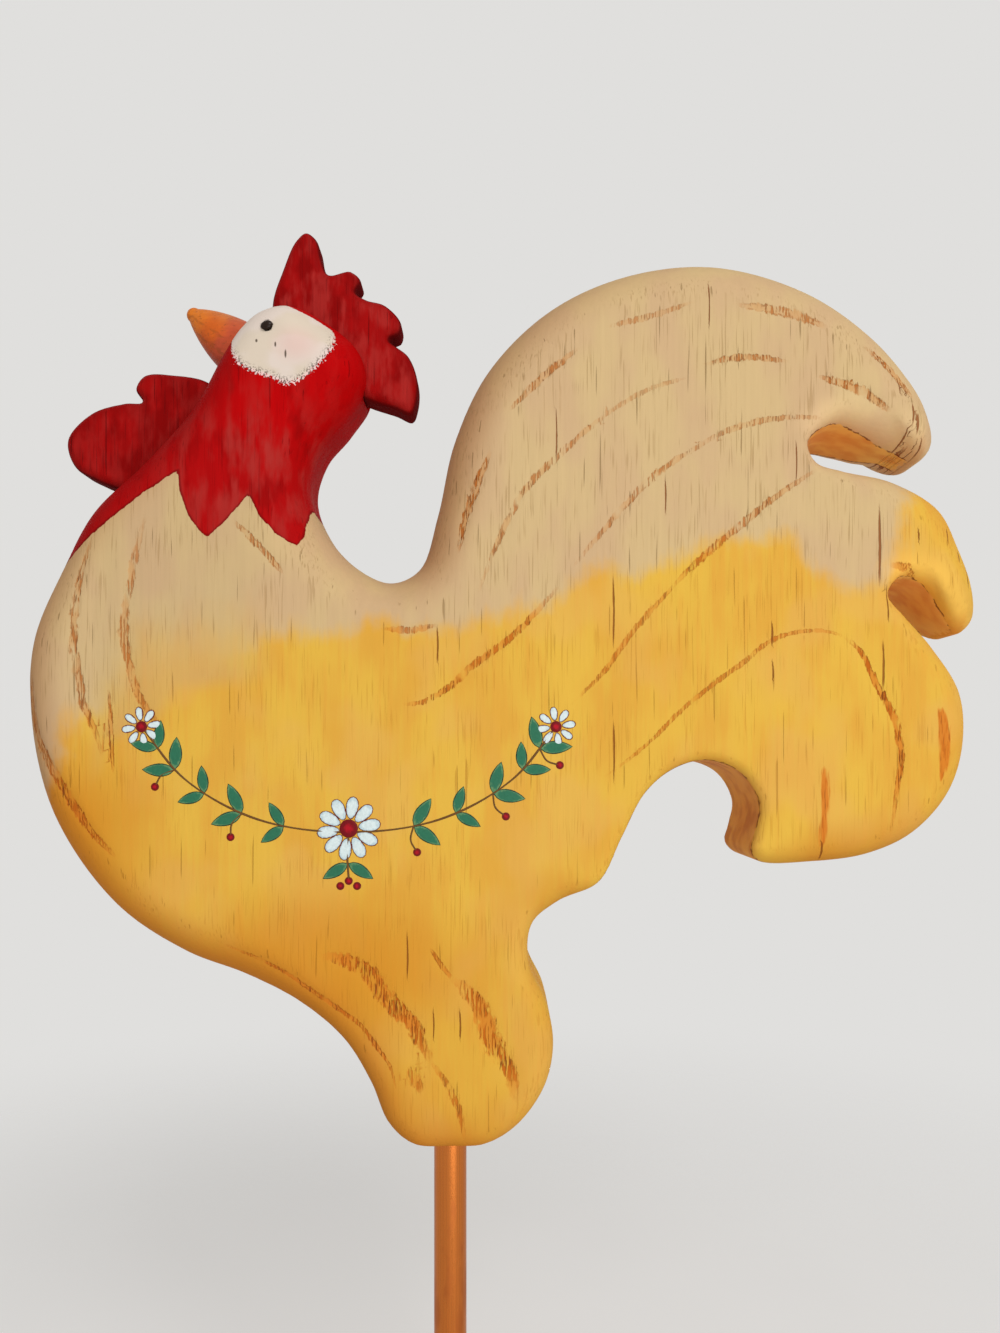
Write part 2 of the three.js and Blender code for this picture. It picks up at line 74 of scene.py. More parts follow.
class Pot(Enum):
    """Colours of the paints, stains, woods and metals, as sRGB values from 0 to 255."""

    CREAM = (213, 183, 133)
    CREAM_PINK = (209, 175, 132)
    # The two glaze colours darken the rims: partly glaze, partly painted shade on rims that face away from
    # the light.
    CREAM_GLAZE_SHADE = (188, 138, 94)
    YELLOW = (230, 183, 72)
    YELLOW_DEEP = (225, 168, 66)
    YELLOW_PEACH = (228, 176, 90)
    ORANGE = (214, 140, 40)
    ORANGE_GLAZE_SHADE = (202, 124, 40)
    HOLLOW_STAIN = (234, 169, 76)
    HOLLOW_DEEP = (209, 135, 58)
    # The notch stains are lighter copies of the hollow stains: painted light in the tail notches.
    NOTCH_STAIN_LIT = (251, 199, 104)
    NOTCH_DEEP_LIT = (237, 169, 84)
    ARRIS = (122, 56, 24)
    PORE_BROWN = (160, 124, 76)
    PORE_OCHRE = (184, 116, 34)
    STAIN_DARK = (140, 74, 30)
    STAIN_MID = (184, 110, 52)
    STAIN_OCHRE = (196, 104, 30)
    STAIN_WASH = (208, 146, 82)
    WASH_OCHRE = (214, 120, 38)
    RED = (176, 12, 14)
    RED_BRIGHT = (188, 5, 8)
    RED_DEEP = (138, 6, 6)
    RED_DULL = (162, 12, 12)
    # Worn pinkish red, also laid on as a painted sheen.
    RED_WORN_SHEEN = (176, 46, 42)
    # Dark red for pores and lines, also painted shade on the plates' walls.
    RED_PORE_AND_SHADE = (88, 8, 10)
    FACE = (228, 212, 199)
    FACE_WARM = (222, 206, 186)
    CHEEK = (228, 190, 178)
    FLECK_DARK = (84, 70, 58)
    FLECK_PALE = (250, 206, 206)
    BEAK = (214, 100, 32)
    # The beak's top colour is a painted highlight; its underside colour is painted shade.
    BEAK_TOP_LIT = (214, 124, 60)
    BEAK_TIP = (224, 128, 38)
    BEAK_BLUSH = (200, 82, 58)
    BEAK_UNDER_SHADE = (168, 48, 20)
    BEAD = (38, 24, 15)
    COPPER = (214, 124, 58)
    COPPER_DARK = (170, 92, 48)
    BIRCH = (214, 190, 148)
    BIRCH_DARK = (186, 156, 112)
    LEAF = (48, 112, 84)
    LEAF_DARK = (18, 62, 50)
    LEAF_LIGHT = (112, 152, 104)
    STEM = (112, 74, 34)
    PETAL = (218, 232, 232)
    PETAL_SHADE = (190, 212, 218)
    OUTLINE = (110, 32, 26)
    BERRY = (178, 16, 34)
    BERRY_DARK = (120, 14, 22)
    PAPER = (224, 223, 221)

    @property
    def linear(self) -> tuple[float, float, float, float]:
        """The colour in scene-linear light, with full alpha.

        Returns:
            Red, green, blue and alpha.
        """
        parts = [c / 255 for c in self.value]
        bent = [p / 12.92 if p <= 0.04045 else ((p + 0.055) / 1.055) ** 2.4 for p in parts]
        return (bent[0], bent[1], bent[2], 1.0)


# Curves and distances on the board's face.


def smooth_path(knots: Array, steps: int, closed: bool) -> Array:
    """Rounds a run of knots into a centripetal Catmull-Rom curve.

    Args:
        knots: one row per knot, of any number of columns.
        steps: points per span.
        closed: whether the last knot leads back to the first.

    Returns:
        The curve's points, one row each.
    """
    if closed:
        before, here, after, beyond = (np.roll(knots, shift, 0) for shift in (1, 0, -1, -2))
    else:
        padded = np.vstack([2 * knots[0] - knots[1], knots, 2 * knots[-1] - knots[-2]])
        before, here, after, beyond = padded[:-3], padded[1:-2], padded[2:-1], padded[3:]
    gaps = [
        np.maximum(np.linalg.norm(b - a, axis=1) ** 0.5, 1e-4)[:, None]
        for a, b in ((before, here), (here, after), (after, beyond))
    ]
    first, middle, last = gaps
    leave = (here - before) / first - (after - before) / (first + middle) + (after - here) / middle
    reach = (after - here) / middle - (beyond - here) / (middle + last) + (beyond - after) / last
    leave, reach = leave * middle, reach * middle
    t = np.arange(steps)[None, :, None] / steps
    span = (
        (2 * t**3 - 3 * t**2 + 1) * here[:, None]
        + (t**3 - 2 * t**2 + t) * leave[:, None]
        + (3 * t**2 - 2 * t**3) * after[:, None]
        + (t**3 - t**2) * reach[:, None]
    )
    points = span.reshape(-1, knots.shape[1])
    return points if closed else np.vstack([points, knots[-1:]])


def nearest_on(spots: Array, path: Array) -> tuple[Array, Array, Array]:
    """Finds the place on a run of straight segments that is nearest to each spot.

    Args:
        spots: rows of right and up.
        path: rows of right and up, in order.

    Returns:
        The distance, the segment's index plus the share along it, and the side: positive on the
        left of the path's direction.
    """
    start, span = path[:-1], np.diff(path, axis=0)
    square = np.maximum((span**2).sum(1), 1e-12)
    distance, place, side = (np.empty(len(spots)) for _ in range(3))
    for low in range(0, len(spots), 4000):
        part = slice(low, low + 4000)
        delta = spots[part, None] - start[None]
        share = np.clip((delta * span).sum(-1) / square, 0, 1)
        away = ((delta - share[..., None] * span) ** 2).sum(-1)
        best = away.argmin(1)
        row = np.arange(len(best))
        distance[part] = away[row, best] ** 0.5
        place[part] = best + share[row, best]
        chosen = span[best]
        cross = chosen[:, 0] * delta[row, best, 1] - chosen[:, 1] * delta[row, best, 0]
        side[part] = cross / square[best] ** 0.5
    return distance, place, side


def signed_gap(spots: Array, loop: Spots) -> Array:
    """Distance of each spot to a closed loop of straight segments, positive inside it.

    Args:
        spots: rows of right and up.
        loop: the loop's corners in order.

    Returns:
        One distance for each spot.
    """
    ring = np.array(loop + loop[:1], float)
    distance, _, _ = nearest_on(spots, ring)
    inside = np.zeros(len(spots), bool)
    for (x0, y0), (x1, y1) in zip(ring[:-1], ring[1:]):
        if y0 == y1:
            continue
        crossed = (y0 > spots[:, 1]) != (y1 > spots[:, 1])
        inside ^= crossed & (spots[:, 0] < x0 + (spots[:, 1] - y0) * (x1 - x0) / (y1 - y0))
    return np.where(inside, distance, -distance)


def eased(values: Array, low: Union[float, Array], high: float) -> Array:
    """Smooth step from 0 at low to 1 at high; low may be the larger."""
    share = np.clip((values - low) / (high - low), 0, 1)
    return share * share * (3 - 2 * share)


@dataclass(frozen=True)
class Run:
    """Some points of an outline, in pattern squares, and the edge round at their start and end."""

    rounds: tuple[float, float]
    points: Spots
    stained: bool = False


@dataclass(frozen=True)
class Nearest:
    """What the outline is like at the place nearest to each of some spots."""

    gap: Array
    inward: Array
    wall: Array
    stained: Array


class Outline:
    """The smooth outline of a sawn plate, counterclockwise, with the round on its edges."""

    LONGEST_LOOP = 0.25
    TIP_LEAST = 0.04
    TIP_MOST = 0.16
    ROUND_STEPS = 10

    def __init__(self, runs: Sequence[Run], thickness: float, steps: int = 12) -> None:
        """Steps along the outline and lays the plate's smooth skin over its edge rounds.

        Args:
            runs: the outline's runs in order.
            thickness: the plate's thickness.
            steps: how many steps the curve takes from one point to the next.
        """
        knots, stained = [], []
        for run in runs:
            for i, (right, up) in enumerate(run.points):
                share = i / (len(run.points) - 1) if len(run.points) > 1 else 0.0
                edge = run.rounds[0] + (run.rounds[1] - run.rounds[0]) * share
                knots.append((right * PATTERN_SQUARE, up * PATTERN_SQUARE, edge))
                stained.append(float(run.stained))
        self.half = thickness / 2
        rim = smooth_path(np.array(knots), steps, closed=True)
        self.rim = rim[:, :2]
        flags = np.array(stained)
        share = np.tile(np.arange(steps) / steps, len(flags))
        self.stained = np.repeat(flags, steps) * (1 - share) + np.repeat(np.roll(flags, -1), steps) * share
        along = np.roll(self.rim, -1, 0) - np.roll(self.rim, 1, 0)
        along /= np.linalg.norm(along, axis=1)[:, None]
        self.inward = np.column_stack([-along[:, 1], along[:, 0]])
        self.depth = np.minimum(rim[:, 2], self.half - LEAST_FLAT_WALL / 2)
        self.face_edge = self._face_edge(self.rim + self.inward * rim[:, 2:])
        self.skin = self._skin()

    def _loops(self, line: Array) -> list[tuple[int, int, Array]]:
        """Finds the loops that a closed line makes where it passes over itself.

        Args:
            line: rows of right and up.

        Returns:
            Each loop's count of points, its first point and where it closes, longest first.
        """
        count = len(line)
        span = np.roll(line, -1, 0) - line
        loops = []
        for i in range(count):
            others = (i + np.arange(2, int(count * self.LONGEST_LOOP))) % count
            apart, other = line[others] - line[i], span[others]
            turn = span[i, 0] * other[:, 1] - span[i, 1] * other[:, 0]
            turn = np.where(np.abs(turn) < 1e-12, 1e-12, turn)
            here = (apart[:, 0] * other[:, 1] - apart[:, 1] * other[:, 0]) / turn
            there = (apart[:, 0] * span[i, 1] - apart[:, 1] * span[i, 0]) / turn
            hits = np.nonzero((here >= 0) & (here <= 1) & (there >= 0) & (there <= 1))[0]
            if len(hits):
                loops.append((int(hits[-1]) + 2, i + 1, line[i] + here[hits[-1]] * span[i]))
        return sorted(loops, key=lambda loop: -loop[0])

    def _face_edge(self, line: Array) -> Array:
        """Trims the line where the rounds meet the face, to a small copy of the rim at narrow tips.

        Args:
            line: the rim, moved inward by the size of its rounds.

        Returns:
            The trimmed line, with one row for each place on the rim.
        """
        edge = line.copy()
        trimmed = np.zeros(len(line), bool)
        for count, first, cross in self._loops(line):
            tip = (first + np.arange(count)) % len(line)
            if trimmed[tip].any():
                continue
            along = np.sin(np.pi * (np.arange(count) + 1) / (count + 1))
            share = self.TIP_LEAST + (self.TIP_MOST - self.TIP_LEAST) * along
            edge[tip] = cross + share[:, None] * (self.rim[tip] - cross)
            trimmed[tip] = True
        return edge

    def _skin(self) -> BVHTree:
        """Lays the plate's smooth surface, from the back face over the wall to the front face.

        Returns:
            The surface, ready to be searched.
        """
        rings = []
        turns = np.linspace(math.pi / 2, 0, self.ROUND_STEPS + 1)
        for side in (1, -1):
            for turn in turns[::side]:
                spot = self.rim + (self.face_edge - self.rim) * (1 - math.cos(turn))
                level = side * (self.half - self.depth + self.depth * math.sin(turn))
                rings.append(np.column_stack([spot[:, 0], level, spot[:, 1]]))
        count, last = len(self.rim), (len(rings) - 1) * len(self.rim)
        faces = [list(range(count))[::-1], list(range(last, last + count))]
        for low in range(0, last, count):
            for i in range(count):
                j = (i + 1) % count
                faces.append([low + i, low + j, low + count + j, low + count + i])
        return BVHTree.FromPolygons(np.vstack(rings).tolist(), faces)

    def nearest(self, spots: Array) -> Nearest:
        """Reads the outline at the place nearest to each spot; gaps are positive inside.

        Args:
            spots: rows of right and up.

        Returns:
            What the outline is like there.
        """
        ring = np.vstack([self.rim, self.rim[:1]])
        distance, place, side = nearest_on(spots, ring)
        low = place.astype(int) % len(self.rim)
        high = (low + 1) % len(self.rim)
        share = (place - place.astype(int))[:, None]

        def read(values: Array) -> Array:
            """Blends a table's rows at each place."""
            table = values.reshape(len(values), -1)
            return table[low] * (1 - share) + table[high] * share

        inward = read(self.inward)
        inward /= np.linalg.norm(inward, axis=1)[:, None]
        return Nearest(
            gap=np.where(side >= 0, distance, -distance),
            inward=inward,
            wall=self.half - read(self.depth)[:, 0],
            stained=read(self.stained)[:, 0],
        )

    def settle(self, corners: Array, reach: float) -> Array:
        """Moves a remeshed plate's outer corners onto its smooth skin.

        Args:
            corners: rows of right, across and up.
            reach: corners farther than this from the skin, such as a groove's, stay.

        Returns:
            The moved corners.
        """
        settled = corners.copy()
        for i, corner in enumerate(corners.tolist()):
            spot = self.skin.find_nearest(corner, reach)[0]
            if spot is not None:
                settled[i] = spot
        return settled


# Meshes.


def new_piece(name: str, mesh: bpy.types.Mesh) -> bpy.types.Object:
    """Puts a mesh into the scene as a piece at the origin.

    Args:
        name: the piece's name.
        mesh: its mesh.

    Returns:
        The piece.
    """
    piece = bpy.data.objects.new(name, mesh)
    bpy.context.scene.collection.objects.link(piece)
    return piece


def mesh_from(
    name: str, corners: Array, faces: Iterable[Sequence[int]], crease: float = 40
) -> bpy.types.Mesh:
    """Makes a smooth-shaded mesh.

    Args:
        name: the mesh's name.
        corners: rows of x, y and z in millimetres.
        faces: corner indices of each face.
        crease: edges that turn more than this, in degrees, stay sharp.

    Returns:
        The mesh, in metres.
    """
    mesh = bpy.data.meshes.new(name)
    mesh.from_pydata((corners * MM).tolist(), [], [tuple(face) for face in faces])
    shade(mesh, crease)
    return mesh


def shade(mesh: bpy.types.Mesh, crease: float) -> None:
    """Shades a mesh smooth, apart from edges that turn more than the crease angle.

    Args:
        mesh: the mesh to shade.
        crease: the angle in degrees.
    """
    mesh.polygons.foreach_set("use_smooth", np.ones(len(mesh.polygons), bool))
    mesh.set_sharp_from_angle(angle=math.radians(crease))
    mesh.update()


def fine_copy(node: str, name: str, voxel: float) -> bpy.types.Object:
    """Remeshes a copy of a CAD node into small even quads.

    Args:
        node: the CAD node.
        name: the new piece's name.
        voxel: the quads' size.

    Returns:
        The new piece.
    """
    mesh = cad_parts[node].data.copy()
    mesh.materials.clear()
    weld = bmesh.new()
    weld.from_mesh(mesh)
    bmesh.ops.remove_doubles(weld, verts=weld.verts, dist=1e-6)
    weld.to_mesh(mesh)
    weld.free()
    piece = new_piece(name, mesh)
    remesh = piece.modifiers.new("even quads", "REMESH")
    remesh.mode = "VOXEL"
    remesh.voxel_size = voxel * MM
    graph = bpy.context.evaluated_depsgraph_get()
    fine = bpy.data.meshes.new_from_object(piece.evaluated_get(graph))
    piece.modifiers.clear()
    piece.data = fine
    return piece


def corners_of(mesh: bpy.types.Mesh) -> Array:
    """A mesh's corners as rows of right, across and up, in millimetres from the foot.

    Args:
        mesh: the mesh to read.

    Returns:
        One row for each corner.
    """
    flat = np.empty(len(mesh.vertices) * 3)
    mesh.vertices.foreach_get("co", flat)
    return flat.reshape(-1, 3) / MM - (0, 0, FOOT_HEIGHT)


def normals_of(mesh: bpy.types.Mesh) -> Array:
    """The normals at a mesh's corners.

    Args:
        mesh: the mesh to read.

    Returns:
        One row for each corner.
    """
    flat = np.empty(len(mesh.vertices) * 3)
    mesh.vertex_normals.foreach_get("vector", flat)
    return flat.reshape(-1, 3)


def place_corners(mesh: bpy.types.Mesh, corners: Array, node: str) -> None:
    """Writes corners back to a mesh, kept inside the box of the CAD node that it stands for.

    Args:
        mesh: the mesh to change.
        corners: rows of right, across and up, in millimetres from the foot.
        node: the CAD node's name.
    """
    low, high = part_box(node)
    inside = np.clip((corners + (0, 0, FOOT_HEIGHT)) * MM, np.array(low), np.array(high))
    mesh.vertices.foreach_set("co", inside.ravel())
    mesh.update()


def store(mesh: bpy.types.Mesh, name: str, values: Array) -> None:
    """Keeps one number per corner for the finishes to read."""
    attribute = mesh.attributes.new(name, "FLOAT", "POINT")
    attribute.data.foreach_set("value", np.ascontiguousarray(values, np.float32))


def store_end_grain(mesh: bpy.types.Mesh, axis: int) -> None:
    """Keeps where a mesh looks along its wood's grain, which runs along an axis."""
    store(mesh, "end_grain", eased(np.abs(normals_of(mesh)[:, axis]), 0.15, 0.6))


def turned(profile: Sequence[Spot], steps: int, flatness: float = 1.0) -> tuple[Array, list[list[int]]]:
    """Turns a profile about +Z.

    Args:
        profile: points of radius and height; the first and last lie on the axis.
        steps: steps round.
        flatness: how far Y is drawn in.

    Returns:
        Corners and faces.
    """
    angles = np.arange(steps) * 2 * math.pi / steps
    rings = [(0.0, 0.0, profile[0][1])]
    for radius, height in profile[1:-1]:
        rings += [(radius * math.cos(a), radius * math.sin(a) * flatness, height) for a in angles]
    rings.append((0.0, 0.0, profile[-1][1]))
    faces: list[list[int]] = []
    last = len(rings) - 1
    rows = len(profile) - 2
    for i in range(steps):
        j = (i + 1) % steps
        faces.append([0, 1 + j, 1 + i])
        for row in range(rows - 1):
            low, high = 1 + row * steps, 1 + (row + 1) * steps
            faces.append([low + i, low + j, high + j, high + i])
        top = 1 + (rows - 1) * steps
        faces.append([top + i, top + j, last])
    return np.array(rings), faces


def quarter(radius: float, height: float, reach: float, rise: float, steps: int) -> list[Spot]:
    """Points of a quarter round from [radius, height] that goes in by reach and up by rise."""
    angles = [(step / steps) * math.pi / 2 for step in range(1, steps + 1)]
    return [(radius - reach + reach * math.cos(a), height + rise * math.sin(a)) for a in angles]


def seat(at: Spot, angle: float) -> Matrix:
    """The move that puts a piece's +Z along an angle from +X in the board's middle plane."""
    turn = Matrix.Rotation(math.pi / 2 - math.radians(angle), 4, "Y")
    return Matrix.Translation((at[0], 0, at[1] + FOOT_HEIGHT)) @ turn


def moved(corners: Array, move: Matrix) -> Array:
    """Corners after a move in millimetres."""
    table = np.array(move)
    return corners @ table[:3, :3].T + table[:3, 3]


# Finishes.

Feed = Union["Tone", float]


class Tone:
    """A socket of a finish with arithmetic, so that a finish reads like a formula."""

    def __init__(self, mixer: "Mixer", socket: bpy.types.NodeSocket) -> None:
        """Keeps the socket and the mixer that it belongs to."""
        self.mixer = mixer
        self.socket = socket

    def __add__(self, other: Feed) -> "Tone":
        """Sum."""
        return self.mixer.maths("ADD", self, other)

    def __sub__(self, other: Feed) -> "Tone":
        """Difference."""
        return self.mixer.maths("SUBTRACT", self, other)

    def __rsub__(self, other: Feed) -> "Tone":
        """Difference from a number."""
        return self.mixer.maths("SUBTRACT", other, self)

    def __mul__(self, other: Feed) -> "Tone":
        """Product."""
        return self.mixer.maths("MULTIPLY", self, other)

    __radd__ = __add__
    __rmul__ = __mul__

    def size(self) -> "Tone":
        """The value without its sign."""
        return self.mixer.maths("ABSOLUTE", self)

    def or_more(self, other: Feed) -> "Tone":
        """The larger of two values."""
        return self.mixer.maths("MAXIMUM", self, other)


Colour = Union[Tone, Pot]


class Mixer:
    """Mixes one material: its calls add nodes and hand back tones."""

    def __init__(self, name: str) -> None:
        """Starts an empty material that reads places on the piece itself.

        Args:
            name: the material's name.
        """
        self.material = bpy.data.materials.new(name)
        self.material.use_nodes = True
        self.tree = self.material.node_tree
        self.tree.nodes.clear()
        self.place = Tone(self, self.node("ShaderNodeTexCoord").outputs["Object"])

    def node(self, kind: str, feeds: Optional[Mapping[Any, Any]] = None, **settings: Any) -> bpy.types.Node:
        """Adds a node.

        Args:
            kind: Blender's name of the node type.
            feeds: input name or index, with a tone, a pot or a plain value for it.
            **settings: the node's own properties.

        Returns:
            The node.
        """
        made = self.tree.nodes.new(kind)
        for name, value in settings.items():
            setattr(made, name, value)
        for name, value in (feeds or {}).items():
            if isinstance(value, Tone):
                self.tree.links.new(value.socket, made.inputs[name])
            elif isinstance(value, Pot):
                made.inputs[name].default_value = value.linear
            else:
                made.inputs[name].default_value = value
        return made

    def maths(self, operation: str, first: Feed, second: Feed = 0.0) -> Tone:
        """One sum, product or the like."""
        return Tone(self, self.node("ShaderNodeMath", {0: first, 1: second}, operation=operation).outputs[0])

    def reading(self, name: str) -> Tone:
        """A number that the mesh keeps at its corners."""
        return Tone(self, self.node("ShaderNodeAttribute", attribute_name=name).outputs["Fac"])

    def between(self, value: Feed, low: float, high: float) -> Tone:
        """Smooth step from 0 at low to 1 at high; low may be the larger."""
        feeds = {"Value": value, "From Min": low, "From Max": high}
        return Tone(self, self.node("ShaderNodeMapRange", feeds, interpolation_type="SMOOTHSTEP").outputs[0])

    def grain(self, size: Triple, seed: float = 0, detail: float = 2) -> Tone:
        """Noise whose lumps have a size in millimetres along each axis.

        Args:
            size: how far apart the lumps are along X, Y and Z.
            seed: picks another part of the noise.
            detail: octaves.

        Returns:
            A tone that is about 0.5 on average.
        """
        scale = tuple(1000 / s for s in size)
        feeds = {"Vector": self.place, "Scale": scale, "Location": (seed * 7.3, seed * 3.1, seed * 5.7)}
        spread = Tone(self, self.node("ShaderNodeMapping", feeds).outputs[0])
        feeds = {"Vector": spread, "Scale": 1.0, "Detail": detail}
        return Tone(self, self.node("ShaderNodeTexNoise", feeds).outputs["Fac"])

    def place_maths(self, operation: str, place: Tone, other: Triple) -> Tone:
        """One sum or product of places."""
        made = self.node("ShaderNodeVectorMath", {0: place, 1: other}, operation=operation)
        return Tone(self, made.outputs[0])

    def length(self, place: Tone) -> Tone:
        """Distance of a place from its origin, in metres."""
        return Tone(self, self.node("ShaderNodeVectorMath", {0: place}, operation="LENGTH").outputs["Value"])

    def oval(self, at: Spot, radii: Spot) -> Tone:
        """Distance from a place on the board's face, 1 on the oval with these radii.

        Args:
            at: the oval's middle as [right, up].
            radii: its half width and half height.

        Returns:
            The distance.
        """
        shifted = self.place_maths("ADD", self.place, (-at[0] * MM, 0, -(at[1] + FOOT_HEIGHT) * MM))
        scale = (1 / (radii[0] * MM), 0, 1 / (radii[1] * MM))
        return self.length(self.place_maths("MULTIPLY", shifted, scale))

    def blend(self, share: Feed, under: Colour, over: Colour) -> Tone:
        """Lays a share of one colour over another."""
        made = self.node("ShaderNodeMix", {0: share, 6: under, 7: over}, data_type="RGBA")
        return Tone(self, made.outputs[2])

    def lit(self, colour: Colour, value: Feed, strength: Feed = 1.0) -> Tone:
        """A colour made lighter or darker, and fuller or paler."""
        feeds = {"Color": colour, "Value": value, "Saturation": strength}
        return Tone(self, self.node("ShaderNodeHueSaturation", feeds).outputs[0])

    def relief(self, height: Tone) -> Tone:
        """Turns a height in millimetres into a bumped normal."""
        return Tone(self, self.node("ShaderNodeBump", {"Height": height, "Distance": MM}).outputs[0])

    def coat(
        self, colour: Colour, roughness: Feed, normal: Optional[Tone] = None, **constants: float
    ) -> bpy.types.Material:
        """Ends the material with one glossy surface.

        Args:
            colour: its base colour.
            roughness: its roughness.
            normal: a bumped normal.
            **constants: other sockets, with an underscore for each space.

        Returns:
            The material.
        """
        feeds: dict[str, Any] = {"Base Color": colour, "Roughness": roughness}
        if normal is not None:
            feeds["Normal"] = normal
        feeds.update({name.replace("_", " "): value for name, value in constants.items()})
        return self.end(self.shader("ShaderNodeBsdfPrincipled", feeds))

    def shader(self, kind: str, feeds: Mapping[Any, Any]) -> Tone:
        """A shader node as a tone."""
        return Tone(self, self.node(kind, feeds).outputs[0])

    def end(self, surface: Tone) -> bpy.types.Material:
        """Connects a surface to the material's output."""
        self.node("ShaderNodeOutputMaterial", {"Surface": surface})
        return self.material


class Finish(Protocol):
    """Anything that can make one material."""

    def make(self) -> bpy.types.Material:
        """Makes the material."""


@dataclass(frozen=True)
class Pores:
    """The open grain under the paint: thin dark lines along the board's grain."""

    along: Triple = (0.5, 0.5, 13)
    hair: Triple = (0.9, 0.9, 22)

    def lines(self, mixer: Mixer) -> tuple[Tone, Tone]:
        """Draws the pores and the cracks.

        Args:
            mixer: the material's mixer.

        Returns:
            Short soft pores and long thin cracks, each from 0 to 1.
        """
        face_grain = 1.0 - mixer.reading("end_grain")
        patchy = mixer.between(mixer.grain((9, 9, 16), seed=4), 0.36, 0.62)
        pores = mixer.between(mixer.grain(self.along, seed=1, detail=1), 0.55, 0.7) * patchy
        cracks = mixer.between(mixer.grain(self.hair, seed=2, detail=1), 0.69, 0.76)
        return pores * face_grain, cracks * face_grain


